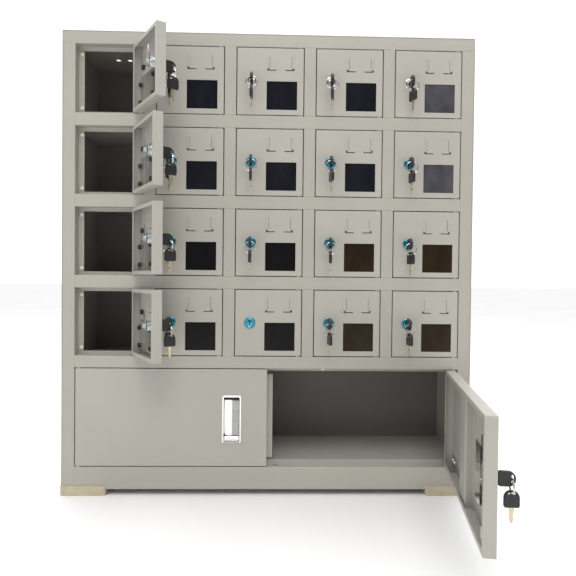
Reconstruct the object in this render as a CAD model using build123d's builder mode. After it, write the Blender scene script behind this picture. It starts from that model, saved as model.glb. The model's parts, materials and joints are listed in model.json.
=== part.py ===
"""Wall-height phone charging kiosk: a sheet-steel locker with twenty lockable
charging compartments above one wide compartment with two doors.

Frame: origin on the floor at the middle of the footprint, +Z up, the doors
face -Y, +X to the right as one faces the doors. Lengths are millimetres.
"""

import os
from math import cos, radians, sin

from build123d import *

os.makedirs("parts", exist_ok=True)

# ---------------------------------------------------------------- driving sizes
WIDTH, DEPTH, HEIGHT = 800.0, 240.0, 900.0
SHEET = 1.5  # casing and frame sheet
SKIN = 1.2  # door sheet
FEET = 12.0  # height that the feet hold the base off the floor

STILE = 25.0  # side and top bars of the face frame, as seen from the front
OPENING = 132.0  # each small opening is square
COLUMNS, ROWS = 5, 4
PITCH_X = 154.5
PITCH_Z = 156.5
BASE_TOP = 56.0
LOWER_TOP = 250.0  # top of the wide opening
FIRST_ROW = 273.5  # bottom of the lowest row of small openings

LEDGE = 19.5  # depth of the reveal in front of the stops
STOP = 7.0  # how far a rail's stop reaches into the opening
STRIKE = 11.0  # the wider stop that a lock cam catches behind
HINGE_STOP = 6.0
GAP = 1.5  # gap round every door

CAVITY_FRONT = 210.0  # inner back wall, behind the front face
FLOOR_DECK = 58.0  # top of the wide compartment's floor

DOOR_DEPTH = 18.1
BIG_DOOR_DEPTH = 18.1
HEM = 7.0
HINGE_IN = 6.0  # hinge axis to the door's edge
HINGE_BACK = 4.0  # hinge axis behind the door's face
PIN_R = 2.0
PIN_CLEAR = 0.08
SHOULDER = 1.35  # washer under each hinge flange

LOCK_IN = 28.5  # lock axis to the door's free edge
BEZEL_R, BARREL_R, PLUG_R = 11.0, 9.2, 6.6
BARREL_LENGTH = 21.5
CAM_LENGTH, CAM_WIDTH, CAM_SHEET, CAM_PLAY = 31.0, 15.0, 2.0, 0.3
BEZEL_PROUD, PLUG_PROUD = 2.0, 1.6
KEYWAY, KEYWAY_DEPTH = (2.2, 8.4), 7.0

TOP_ROW_OPEN, ROW_OPEN = 122.0, 120.0  # how far the first column stands open
BIG_OPEN = 80.2

FRONT = -DEPTH / 2
BACK = DEPTH / 2
LEFT, RIGHT = -WIDTH / 2, WIDTH / 2
INNER_BACK = FRONT + CAVITY_FRONT
STOP_FRONT = FRONT + LEDGE

column_lefts = [LEFT + STILE + PITCH_X * c for c in range(COLUMNS)]
row_bottoms = [FIRST_ROW + PITCH_Z * (ROWS - 1 - r) for r in range(ROWS)]  # row 1 is the top row
mullions = [x + OPENING + (PITCH_X - OPENING) / 2 for x in column_lefts[:-1]]
MULLION = PITCH_X - OPENING
RAIL = PITCH_Z - OPENING
rail_middles = [b + OPENING + RAIL / 2 for b in row_bottoms[1:]]
OPEN_LEFT, OPEN_RIGHT = LEFT + STILE, RIGHT - STILE
ROOF = HEIGHT - SHEET


def put(part, label):
    """Names a finished piece and writes it."""
    part.label = label
    export_step(part, f"parts/{label}.step")
    box = part.bounding_box()
    print(label, len(part.solids()), [round(v, 1) for v in (*box.min, *box.max)])


def joined(*groups):
    """The solids of several finished builders as one node, each still its own solid."""
    return Compound(Compound([g.part for g in groups]).solids())


def side_box(x0, x1, y0, y1, z0, z1, mode=Mode.ADD):
    """Adds or cuts one box given by its faces."""
    with Locations(((x0 + x1) / 2, (y0 + y1) / 2, (z0 + z1) / 2)):
        Box(x1 - x0, y1 - y0, z1 - z0, mode=mode)


def hinged_plane(axis_x, bottom, height, turn):
    """Door face plane at the hinge: x along the leaf, y up, z out of the front."""
    a = radians(turn)
    middle = bottom + height / 2
    return Plane(
        origin=(axis_x, FRONT + HINGE_BACK, middle), x_dir=(cos(a), sin(a), 0), z_dir=(sin(a), -cos(a), 0)
    )


# ---------------------------------------------------------------- face frame
def rail_section(z0, z1, upper, lower, wall=SHEET):
    """Hat section of a rail in the YZ plane: face, two ledges and two stops."""
    side_y = FRONT + (LEDGE + wall) / 2
    with Locations((FRONT + wall / 2, (z0 + z1) / 2)):
        Rectangle(wall, z1 - z0)
    with Locations((side_y, z0 + wall / 2), (side_y, z1 - wall / 2)):
        Rectangle(LEDGE + wall, wall)
    for reach, z in ((upper, z1 + upper / 2), (lower, z0 - lower / 2)):
        if reach:
            with Locations((STOP_FRONT + wall / 2, z)):
                Rectangle(wall, reach)


SILL_STOP = 9.0
rails = [(FEET, BASE_TOP, SILL_STOP, 0), (LOWER_TOP, FIRST_ROW, STOP, STOP)]
rails += [(m - RAIL / 2, m + RAIL / 2, STOP, STOP) for m in rail_middles]
ROD_SLOT_X, ROD_SLOT_Y = 16.5, FRONT + 13.5  # where the right door's lower bolt enters the sill
UPPER_SLOT_X = 20.0
SLOT_LENGTH, SLOT_WIDTH = 12.0, 6.4

with BuildPart() as frame_rails:
    for z0, z1, upper, lower in rails:
        with BuildSketch(Plane.YZ.offset(OPEN_LEFT)):
            rail_section(z0, z1, upper, lower)
        extrude(amount=OPEN_RIGHT - OPEN_LEFT)
    with BuildSketch(Plane.YZ.offset(LEFT + SHEET)):
        rail_section(HEIGHT - STILE, ROOF, 0, 0)
    extrude(amount=WIDTH - 2 * SHEET)
    with BuildSketch(Plane.YZ.offset(OPEN_LEFT)):
        with Locations((STOP_FRONT + SHEET / 2, HEIGHT - STILE - STOP / 2)):
            Rectangle(SHEET, STOP)
    extrude(amount=OPEN_RIGHT - OPEN_LEFT)
    # the bolt slots in the sill and in the rail above the wide opening
    for slot_x, z in ((ROD_SLOT_X, BASE_TOP - SHEET / 2), (UPPER_SLOT_X, LOWER_TOP + SHEET / 2)):
        with BuildSketch(Plane.XY.offset(z - SHEET)):
            with Locations((slot_x, ROD_SLOT_Y)):
                Rectangle(SLOT_LENGTH, SLOT_WIDTH)
        extrude(amount=2 * SHEET, mode=Mode.SUBTRACT)
put(frame_rails.part, "frame_rails")

small_spans = [(b, OPENING) for b in row_bottoms]
lower_span = (BASE_TOP, LOWER_TOP - BASE_TOP)


def upright_section(x0, x1):
    """Channel section of an upright: face and two side walls, open to the back."""
    with Locations(((x0 + x1) / 2, FRONT + SHEET / 2)):
        Rectangle(x1 - x0, SHEET)
    with Locations((x0 + SHEET / 2, FRONT + LEDGE / 2), (x1 - SHEET / 2, FRONT + LEDGE / 2)):
        Rectangle(SHEET, LEDGE)


def upright_stop(x0, x1, bottom, height, trim=STOP):
    """A stop flange behind an upright's wall, cut short of the rails' stops."""
    side_box(x0, x1, STOP_FRONT, STOP_FRONT + SHEET, bottom + trim, bottom + height - trim)


with BuildPart() as frame_uprights:
    for x0, x1 in ((LEFT + SHEET, OPEN_LEFT), (OPEN_RIGHT, RIGHT - SHEET)):
        with BuildSketch(Plane.XY.offset(FEET)):
            upright_section(x0, x1)
        extrude(amount=HEIGHT - STILE - FEET)
    for middle in mullions:
        for bottom, height in small_spans:
            with BuildSketch(Plane.XY.offset(bottom)):
                upright_section(middle - MULLION / 2, middle + MULLION / 2)
            extrude(amount=height)
    for bottom, height in small_spans:
        upright_stop(OPEN_LEFT - SHEET, OPEN_LEFT + STRIKE, bottom, height)
        upright_stop(OPEN_RIGHT - HINGE_STOP, OPEN_RIGHT + SHEET, bottom, height)
        for middle in mullions:
            wall = MULLION / 2 - SHEET
            upright_stop(middle + wall, middle + MULLION / 2 + STRIKE, bottom, height)
            upright_stop(middle - MULLION / 2 - HINGE_STOP, middle - wall, bottom, height)
    bottom, height = lower_span
    upright_stop(OPEN_LEFT - SHEET, OPEN_LEFT + HINGE_STOP, bottom, height, SILL_STOP)
    upright_stop(OPEN_RIGHT - HINGE_STOP, OPEN_RIGHT + SHEET, bottom, height, SILL_STOP)
put(frame_uprights.part, "frame_uprights")

# ---------------------------------------------------------------- casing
RETURN = 16.0  # inward flange that the rear cover screws to
CABLE_HOLE_R = 5.25
CABLE_HOLES = ((LEFT + 67.0, FRONT + 143.0), (LEFT + 92.0, FRONT + 143.0))

with BuildPart() as side_panels:
    for x0 in (LEFT, RIGHT - SHEET):
        side_box(x0, x0 + SHEET, FRONT, BACK, FEET, ROOF)

with BuildPart() as roof_panel:
    side_box(LEFT, RIGHT, FRONT, BACK, ROOF, HEIGHT)
    long_edges = roof_panel.edges().filter_by(Axis.Y).filter_by(lambda e: e.center().Z > HEIGHT - 0.1)
    fillet(long_edges, SHEET * 0.8)
    with Locations(*[(x, y, HEIGHT) for x, y in CABLE_HOLES]):
        Hole(CABLE_HOLE_R, depth=2 * SHEET)

with BuildPart() as rear_flanges:
    for x0 in (LEFT + SHEET, RIGHT - SHEET - RETURN):
        side_box(x0, x0 + RETURN, BACK - 2 * SHEET, BACK - SHEET, FEET + SHEET, ROOF - RETURN)
    side_box(LEFT + SHEET, RIGHT - SHEET, BACK - 2 * SHEET, BACK - SHEET, ROOF - RETURN, ROOF)
put(joined(side_panels, roof_panel, rear_flanges), "outer_casing")

deck_y = FRONT + LEDGE + SHEET
PARTITION_BOTTOM = (LOWER_TOP + FIRST_ROW) / 2 + SHEET / 2
SWAGE_R = 3.0
SWAGES = (88.0, 118.0)

with BuildPart() as decks:
    side_box(LEFT + SHEET, RIGHT - SHEET, deck_y, BACK - 2 * SHEET, FEET, FEET + SHEET)
    side_box(LEFT + SHEET, RIGHT - SHEET, deck_y, INNER_BACK, FLOOR_DECK - SHEET, FLOOR_DECK)
    side_box(LEFT + SHEET, RIGHT - SHEET, deck_y, INNER_BACK, PARTITION_BOTTOM - SHEET, PARTITION_BOTTOM)
    edges = [LEFT + SHEET] + [m + s * SHEET / 2 for m in mullions for s in (-1, 1)] + [RIGHT - SHEET]
    for z in rail_middles:
        for x0, x1 in zip(edges[::2], edges[1::2]):
            side_box(x0, x1, deck_y, INNER_BACK, z - SHEET / 2, z + SHEET / 2)
put(decks.part, "decks")

with BuildPart() as partitions:
    for m in mullions:
        side_box(m - SHEET / 2, m + SHEET / 2, deck_y, INNER_BACK, PARTITION_BOTTOM, ROOF)
put(partitions.part, "partitions")

OUTLET_W, OUTLET_H, OUTLET_D = 26.0, 40.0, 7.0
OUTLET_DX, OUTLET_DZ = 104.0, 38.0  # from the opening's left and bottom edges
outlet_spots = [(x + OUTLET_DX, b + OUTLET_DZ) for x in column_lefts for b in row_bottoms]

with BuildPart() as back_panel:
    side_box(LEFT + SHEET, RIGHT - SHEET, INNER_BACK, INNER_BACK + SHEET, FEET + SHEET, ROOF)
    with BuildSketch(Plane.XZ.offset(-INNER_BACK - SHEET)):
        with Locations(*outlet_spots):
            Rectangle(OUTLET_W - 6, OUTLET_H - 6)
    extrude(amount=SHEET, mode=Mode.SUBTRACT)
    for z in SWAGES:
        with BuildSketch(Plane.YZ.offset(OPEN_LEFT)):
            with Locations((INNER_BACK + SHEET, z)):
                Circle(SWAGE_R)
                Rectangle(2 * SWAGE_R, 4 * SWAGE_R, align=(Align.MAX, Align.CENTER), mode=Mode.SUBTRACT)
        extrude(amount=OPEN_RIGHT - OPEN_LEFT)
put(back_panel.part, "back_panel")

with BuildPart() as usb_outlets:
    with BuildSketch(Plane.XZ.offset(-INNER_BACK)):
        with Locations(*outlet_spots):
            RectangleRounded(OUTLET_W, OUTLET_H, 3)
    extrude(amount=2)
    with BuildSketch(Plane.XZ.offset(-INNER_BACK)):
        with Locations(*outlet_spots):
            Rectangle(OUTLET_W - 6.4, OUTLET_H - 6.4)
    extrude(amount=-OUTLET_D)
    with BuildSketch(Plane.XZ.offset(-INNER_BACK + 2)):
        with Locations(*[(x, z + s) for x, z in outlet_spots for s in (-8, 8)]):
            Rectangle(12.4, 4.9)
    extrude(amount=-6, mode=Mode.SUBTRACT)
put(usb_outlets.part, "usb_outlets")

HUB_W, HUB_H, HUB_D = 150.0, 70.0, 24.0
with BuildPart() as charger_hubs:
    for b in row_bottoms:
        z = b + OPENING / 2 + 10
        x0 = HUB_W * 0.6
        side_box(x0 - HUB_W, x0, INNER_BACK + SHEET, INNER_BACK + SHEET + HUB_D, z, z + HUB_H)
    fillet(charger_hubs.edges().filter_by(Axis.Y), 4)
put(charger_hubs.part, "charger_hubs")

INLET_X, INLET_Z = LEFT + 90.0, 90.0
INLET_W, INLET_H = 30.0, 24.0
COVER_GAP = 0.5
SCREW_R = 3.0
screw_spots = [(s * (RIGHT - SHEET - RETURN / 2), z) for s in (-1, 1) for z in (60, 250, 450, 650, 850)]
screw_spots += [(x, ROOF - RETURN / 2) for x in (-200, 0, 200)]

cover_xs = (LEFT + SHEET + COVER_GAP, RIGHT - SHEET - COVER_GAP)
band_zs = (INLET_Z - INLET_H / 2, INLET_Z + INLET_H / 2)
with BuildPart() as rear_cover:
    side_box(*cover_xs, BACK - SHEET, BACK, FEET + SHEET + COVER_GAP, band_zs[0])
    side_box(*cover_xs, BACK - SHEET, BACK, band_zs[1], ROOF - COVER_GAP)
    with BuildSketch(Plane.XZ.offset(-BACK)):
        with Locations((0, 200), (0, 780)):
            with GridLocations(46, 12, 9, 5):
                SlotOverall(34, 5)
    extrude(amount=SHEET, mode=Mode.SUBTRACT)
with BuildPart() as inlet_band:
    side_box(cover_xs[0], INLET_X - INLET_W / 2, BACK - SHEET, BACK, *band_zs)
    side_box(INLET_X + INLET_W / 2, cover_xs[1], BACK - SHEET, BACK, *band_zs)
with BuildPart() as cover_screws:
    with BuildSketch(Plane.XZ.offset(-BACK)):
        with Locations(*screw_spots):
            Circle(SCREW_R)
    extrude(amount=-1.4)
    with BuildSketch(Plane.XZ.offset(-BACK - 1.4)):
        with Locations(*screw_spots):
            RegularPolygon(1.5, 6)
    extrude(amount=0.9, mode=Mode.SUBTRACT)
put(joined(rear_cover, inlet_band, cover_screws), "rear_cover")

SOCKET_W, SOCKET_H, SOCKET_DEEP = 25.0, 17.0, 17.8
BEZEL_W, BEZEL_H, BEZEL_THICK = INLET_W + 18.0, INLET_H + 4.0, 2.2
inlet_xs = [INLET_X + dx for dx in (0.2 - INLET_W / 2, -SOCKET_W / 2, SOCKET_W / 2, INLET_W / 2 - 0.2)]
inlet_zs = [INLET_Z + dz for dz in (0.2 - INLET_H / 2, -SOCKET_H / 2, SOCKET_H / 2, INLET_H / 2 - 0.2)]
bezel_xs = (INLET_X - BEZEL_W / 2, INLET_X + BEZEL_W / 2)
bezel_zs = (INLET_Z - BEZEL_H / 2, INLET_Z + BEZEL_H / 2)
with BuildPart() as inlet_shelves:
    for n in (0, 2):
        side_box(inlet_xs[0], inlet_xs[3], BACK - SOCKET_DEEP, BACK, inlet_zs[n], inlet_zs[n + 1])
with BuildPart() as inlet_sides:
    for n in (0, 2):
        side_box(inlet_xs[n], inlet_xs[n + 1], BACK - SOCKET_DEEP, BACK, inlet_zs[1], inlet_zs[2])
with BuildPart() as inlet_base:
    side_box(inlet_xs[0], inlet_xs[3], BACK - 24, BACK - SOCKET_DEEP, inlet_zs[0], inlet_zs[3])
with BuildPart() as bezel_bars:
    side_box(*bezel_xs, BACK, BACK + BEZEL_THICK, bezel_zs[0], inlet_zs[1])
    side_box(*bezel_xs, BACK, BACK + BEZEL_THICK, inlet_zs[2], bezel_zs[1])
    fillet([e for e in bezel_bars.edges().filter_by(Axis.Y) if abs(e.center().Z - INLET_Z) > BEZEL_H / 2 - 1], 3)
with BuildPart() as bezel_ends:
    side_box(bezel_xs[0], inlet_xs[1], BACK, BACK + BEZEL_THICK, inlet_zs[1], inlet_zs[2])
    side_box(inlet_xs[2], bezel_xs[1], BACK, BACK + BEZEL_THICK, inlet_zs[1], inlet_zs[2])
with BuildPart() as inlet_pins:
    with BuildSketch(Plane.XZ.offset(-BACK + SOCKET_DEEP)):
        with Locations((INLET_X, INLET_Z + 1), (INLET_X - 7, INLET_Z - 3), (INLET_X + 7, INLET_Z - 3)):
            Rectangle(2, 4)
    extrude(amount=-15)
put(joined(inlet_shelves, inlet_sides, inlet_base, bezel_bars, bezel_ends, inlet_pins), "power_inlet")

# ---------------------------------------------------------------- feet
FOOT_W, FOOT_D, FOOT_LIP, FOOT_PROUD = 88.0, 60.0, 19.0, 2.0
with BuildPart() as corner_feet:
    for sx in (-1, 1):
        for sy in (-1, 1):
            outer_x, outer_y = sx * (RIGHT + FOOT_PROUD), sy * (BACK + FOOT_PROUD)
            inner_x, inner_y = outer_x - sx * FOOT_W, outer_y - sy * FOOT_D
            xs, ys = sorted((outer_x, inner_x)), sorted((outer_y, inner_y))
            side_box(*xs, *ys, 0, FEET)
            side_box(*xs, *sorted((outer_y, sy * BACK)), FEET, FOOT_LIP)
            side_box(*sorted((outer_x, sx * RIGHT)), *ys, FEET, FOOT_LIP)
    uprights = corner_feet.edges().filter_by(Axis.Z).filter_by(
        lambda e: abs(e.center().X) > RIGHT + 1 and abs(e.center().Y) > BACK + 1
    )
    fillet(uprights, 4)
put(corner_feet.part, "corner_feet")


# ---------------------------------------------------------------- hinge pins and bumpers
def pin_pair(x, bottom, top):
    """A shouldered pin on each ledge: the shoulder carries the flange, the pin enters it."""
    reach = GAP + SKIN + 1.2
    for z, up in ((bottom, 1), (top, -1)):
        for radius, height in ((PIN_R + 2, SHOULDER), (PIN_R, reach)):
            with BuildSketch(Plane.XY.offset(z)) as section:
                with Locations((x, FRONT + HINGE_BACK)):
                    Circle(radius)
            extrude(section.sketch, amount=up * height)


small_hinges = [x + OPENING - GAP - HINGE_IN for x in column_lefts]
LEFT_HINGE, RIGHT_HINGE = OPEN_LEFT + GAP + HINGE_IN, OPEN_RIGHT - GAP - HINGE_IN

with BuildPart() as hinge_pins:
    for x in small_hinges:
        for bottom in row_bottoms:
            pin_pair(x, bottom, bottom + OPENING)
    for x in (LEFT_HINGE, RIGHT_HINGE):
        pin_pair(x, BASE_TOP, LOWER_TOP)
put(hinge_pins.part, "hinge_pins")

BUMPER_R = 3.6
BUMPER_HEIGHT = LEDGE - DOOR_DEPTH - 0.3
BIG_BUMPER_HEIGHT = LEDGE - BIG_DOOR_DEPTH - 0.2
with BuildPart() as door_bumpers:
    with BuildSketch(Plane.XZ.offset(-STOP_FRONT)):
        for x in column_lefts:
            with Locations(*[(x + STRIKE - 4.2, b + z) for b in row_bottoms for z in (14, OPENING - 14)]):
                Circle(BUMPER_R)
    extrude(amount=BUMPER_HEIGHT)
    with BuildSketch(Plane.XZ.offset(-STOP_FRONT)):
        with Locations(*[(s * 110, LOWER_TOP - STOP / 2 - 0.2) for s in (-1, 1)]):
            Circle(3.2)
    extrude(amount=BIG_BUMPER_HEIGHT)
put(door_bumpers.part, "door_bumpers")

# ---------------------------------------------------------------- small doors
LEAF = OPENING - 2 * GAP
leaf_middle = HINGE_IN - LEAF / 2
LOCK_X = HINGE_IN - LEAF + LOCK_IN
WINDOW_W, WINDOW_H = 59.3, 55.1
WINDOW_X = HINGE_IN + GAP - OPENING + 58.7 + WINDOW_W / 2
WINDOW_Y = 11.5 + WINDOW_H / 2 - OPENING / 2
PANE_EDGE, PANE = 6.0, 2.5
LABEL_LEFT = HINGE_IN + GAP - OPENING + 59.5
LABEL_RIGHT = HINGE_IN + GAP - OPENING + 112.7
LABEL_BOTTOM, LABEL_TOP = 87.0 - OPENING / 2, 116.0 - OPENING / 2
LABEL_LEG, LABEL_RIB, LABEL_PROUD = 18.5, 3.6, 0.9
CLIP_R = 4.5


def pan(leaf, length, height, depth, free_end):
    """A sheet-steel door pan: skin, four flanges and an inward hem, with hinge holes.

    free_end is -1 where the leaf runs to the left of its hinge and 1 to the right."""
    middle = free_end * (length / 2 - HINGE_IN)
    for offset, width, tall, cut, mode in (
        (HINGE_BACK, length, height, depth, Mode.ADD),
        (HINGE_BACK - SKIN, length - 2 * SKIN, height - 2 * SKIN, depth - 2 * SKIN, Mode.SUBTRACT),
        (HINGE_BACK - depth + 2 * SKIN, length - 2 * HEM, height - 2 * HEM, 3 * SKIN, Mode.SUBTRACT),
    ):
        with BuildSketch(leaf.offset(offset)) as outline:
            with Locations((middle, 0)):
                Rectangle(width, tall)
        extrude(outline.sketch, amount=-cut, mode=mode)
    for side in (-1, 1):
        with Locations(leaf.location * Location((0, side * height / 2, 0), (90, 0, 0))):
            Cylinder(PIN_R + PIN_CLEAR, 6, mode=Mode.SUBTRACT)


def plate(plane, corners, thickness, mode=Mode.ADD):
    """Sketches rectangles (x, y, width, height) on the plane and extrudes them."""
    with BuildSketch(plane) as outline:
        for x, y, width, tall in corners:
            with Locations((x, y)):
                Rectangle(width, tall)
    extrude(outline.sketch, amount=thickness, mode=mode)


def disc(plane, spots, radius, thickness, mode=Mode.ADD):
    """Sketches circles at the spots on the plane and extrudes them."""
    with BuildSketch(plane) as outline:
        with Locations(*spots):
            Circle(radius)
    extrude(outline.sketch, amount=thickness, mode=mode)


label_ribs = []
for edge, inward in ((LABEL_LEFT, 1), (LABEL_RIGHT, -1)):
    label_ribs.append((edge + inward * LABEL_RIB / 2, (LABEL_BOTTOM + LABEL_TOP) / 2, LABEL_RIB,
                       LABEL_TOP - LABEL_BOTTOM))
    label_ribs.append((edge + inward * LABEL_LEG / 2, LABEL_BOTTOM + LABEL_RIB / 2, LABEL_LEG, LABEL_RIB))
label_slots = []
for edge, inward in ((LABEL_LEFT, 1), (LABEL_RIGHT, -1)):
    label_slots.append((edge + inward * (LABEL_RIB + 0.6), (LABEL_BOTTOM + LABEL_TOP) / 2 + 4, 1.2,
                        LABEL_TOP - LABEL_BOTTOM - 8))
clip_spots = [
    (WINDOW_X + WINDOW_W / 2 + 4, WINDOW_Y + 16),
    (WINDOW_X + WINDOW_W / 2 + 4, WINDOW_Y - 16),
    (WINDOW_X - WINDOW_W / 2 - 4, WINDOW_Y + 16),
    (WINDOW_X - WINDOW_W / 2 - 4, WINDOW_Y - 16),
]

for row in range(ROWS):
    for column in range(COLUMNS):
        turn = 0.0 if column else (TOP_ROW_OPEN if row == 0 else ROW_OPEN)
        leaf = hinged_plane(small_hinges[column], row_bottoms[row] + GAP, LEAF, turn)
        face = leaf.offset(HINGE_BACK)
        behind = leaf.offset(HINGE_BACK - SKIN)
        name = f"r{row + 1}c{column + 1}"
        with BuildPart() as door:
            pan(leaf, LEAF, LEAF, DOOR_DEPTH, -1)
            plate(face, label_ribs, LABEL_PROUD)
            plate(face, label_slots, -SKIN, Mode.SUBTRACT)
            plate(face, [(WINDOW_X, WINDOW_Y, WINDOW_W, WINDOW_H)], -SKIN, Mode.SUBTRACT)
            disc(face, [(LOCK_X, 0)], BARREL_R, -SKIN, Mode.SUBTRACT)
        with BuildPart() as window_pane:
            plate(behind, [(WINDOW_X, WINDOW_Y, WINDOW_W + 2 * PANE_EDGE, WINDOW_H + PANE_EDGE)], -PANE)
        with BuildPart() as pane_clips:
            disc(behind.offset(-PANE), clip_spots, CLIP_R, -2.6)
        with BuildPart() as lock_barrel:
            disc(face, [(LOCK_X, 0)], BEZEL_R, BEZEL_PROUD)
            disc(face, [(LOCK_X, 0)], BARREL_R, -BARREL_LENGTH)
            disc(face.offset(BEZEL_PROUD), [(LOCK_X, 0)], PLUG_R + PIN_CLEAR, -BARREL_LENGTH - 3, Mode.SUBTRACT)
        with BuildPart() as lock_nut:
            with BuildSketch(behind):
                with Locations((LOCK_X, 0)):
                    RegularPolygon(13.5, 6)
                    Circle(BARREL_R, mode=Mode.SUBTRACT)
            extrude(amount=-4)
        put(joined(door, window_pane, pane_clips, lock_barrel, lock_nut), f"door_{name}")
        with BuildPart() as lock_plug:
            disc(face.offset(PLUG_PROUD), [(LOCK_X, 0)], PLUG_R, -BARREL_LENGTH - PLUG_PROUD - CAM_PLAY)
            plate(face.offset(PLUG_PROUD), [(LOCK_X, 0, *KEYWAY)], -KEYWAY_DEPTH, Mode.SUBTRACT)
        cam_plane = face.offset(-BARREL_LENGTH - CAM_PLAY - CAM_SHEET)
        with BuildPart() as cam:
            with BuildSketch(cam_plane):
                with Locations((LOCK_X, (CAM_LENGTH - CAM_WIDTH / 2) / 2)):
                    SlotOverall(CAM_LENGTH + CAM_WIDTH / 2, CAM_WIDTH, rotation=90)
            extrude(amount=CAM_SHEET)
        with BuildPart() as cam_screw:
            disc(cam_plane, [(LOCK_X, 0)], 4.5, -2.4)
        put(joined(lock_plug, cam, cam_screw), f"lock_{name}")

# ---------------------------------------------------------------- wide doors
BIG_LENGTH = (OPEN_RIGHT - OPEN_LEFT - 3 * GAP) / 2
BIG_HEIGHT = LOWER_TOP - BASE_TOP - 2 * GAP
HANDLE_IN, HANDLE_WIDTH, HANDLE_HEIGHT = 50.0, 38.0, 93.0
HANDLE_Y = 150.0 - (BASE_TOP + LOWER_TOP) / 2
HANDLE_CUP = 13.0
STIFFENER_W, STIFFENER_D = 46.0, 12.0
left_leaf = hinged_plane(LEFT_HINGE, BASE_TOP + GAP, BIG_HEIGHT, 0)
right_leaf = hinged_plane(RIGHT_HINGE, BASE_TOP + GAP, BIG_HEIGHT, BIG_OPEN)


def free_edge(side):
    """Local x of the free edge of a wide door."""
    return side * (BIG_LENGTH - HINGE_IN)


def handle_middle(side):
    """Local x of the middle of a wide door's handle."""
    return free_edge(side) - side * (HANDLE_IN + HANDLE_WIDTH / 2)


def wide_door(leaf, side):
    """Pan, handle cut-out and the hat-section stiffener of a wide door."""
    pan(leaf, BIG_LENGTH, BIG_HEIGHT, BIG_DOOR_DEPTH, side)
    face = leaf.offset(HINGE_BACK)
    plate(face, [(handle_middle(side), HANDLE_Y, HANDLE_WIDTH - 5, HANDLE_HEIGHT - 5)], -SKIN, Mode.SUBTRACT)


def stiffener(leaf, side):
    """Hat-section stiffener standing on the skin in the middle of a wide door."""
    behind = leaf.offset(HINGE_BACK - SKIN)
    x = side * (BIG_LENGTH / 2 - HINGE_IN)
    tall = BIG_HEIGHT - 2 * SKIN - 0.4
    plate(behind, [(x, 0, STIFFENER_W, tall)], -STIFFENER_D)
    plate(behind, [(x, 0, STIFFENER_W - 2 * SKIN, tall)], -(STIFFENER_D - SKIN), Mode.SUBTRACT)
    for s in (-1, 1):
        plate(behind, [(x + s * (STIFFENER_W / 2 + 5.5), 0, 13.0, tall)], -SKIN)


def hinge_brackets(leaf, side):
    """Angle brackets that thicken the two hinge corners inside the pan."""
    behind = leaf.offset(HINGE_BACK - SKIN)
    for s in (-1, 1):
        y = s * (BIG_HEIGHT / 2 - SKIN - 12)
        plate(behind, [(side * 27, y, 34, 24)], -2)


def handle(leaf, side):
    """Recessed pull: a flange on the face and a cup behind it."""
    face = leaf.offset(HINGE_BACK)
    x = handle_middle(side)
    with BuildSketch(face) as flange:
        with Locations((x, HANDLE_Y)):
            RectangleRounded(HANDLE_WIDTH, HANDLE_HEIGHT, 3)
    extrude(flange.sketch, amount=1.6)
    plate(face, [(x, HANDLE_Y, HANDLE_WIDTH - 5.4, HANDLE_HEIGHT - 5.4)], -HANDLE_CUP)
    cup = [(x, HANDLE_Y, HANDLE_WIDTH - 9, HANDLE_HEIGHT - 9)]
    plate(face.offset(1.6), cup, -(HANDLE_CUP + 0.2), Mode.SUBTRACT)


LAP_W, LAP_OVER = 23.0, 11.0
with BuildPart() as left_door:
    wide_door(left_leaf, 1)
with BuildPart() as left_stiffener:
    stiffener(left_leaf, 1)
with BuildPart() as left_brackets:
    hinge_brackets(left_leaf, 1)
with BuildPart() as lap_strip:
    back_face = left_leaf.offset(HINGE_BACK - BIG_DOOR_DEPTH)
    lap_x = free_edge(1) + LAP_OVER - LAP_W / 2
    plate(back_face, [(lap_x, 0, LAP_W, BIG_HEIGHT - 24)], -SKIN)
    plate(back_face, [(lap_x + LAP_W / 2 - SKIN / 2, 0, SKIN, BIG_HEIGHT - 24)], -5)
put(joined(left_door, left_stiffener, left_brackets, lap_strip), "left_door")

with BuildPart() as left_handle:
    handle(left_leaf, 1)
put(left_handle.part, "left_handle")

# the right door's lock turns a crank disc, which drives a bolt up and one down
BIG_LOCK_X = free_edge(-1) + 24.5
BIG_LOCK_Y = 158.0 - (BASE_TOP + LOWER_TOP) / 2
BIG_BARREL = 8.6
CRANK_R, CRANK_PIN_R, CRANK_DISC_R, CRANK_DISC = 10.0, 2.0, 13.0, 1.8
BOLT_FRONT, BOLT = 12.0, 3.0  # the bolts' plane behind the face, and their thickness
BOLT_WIDTH = 8.0
SLOT_PLAY = 0.5
pin_reach = CRANK_R * sin(radians(45))
free_x = free_edge(-1)
LOWER_BOLT_X = free_x + (ROD_SLOT_X - GAP / 2)
UPPER_BOLT_X = free_x + (UPPER_SLOT_X - GAP / 2)
right_face = right_leaf.offset(HINGE_BACK)
door_half = BIG_HEIGHT / 2
GUIDE_Y = 208.0 - (BASE_TOP + LOWER_TOP) / 2

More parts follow.
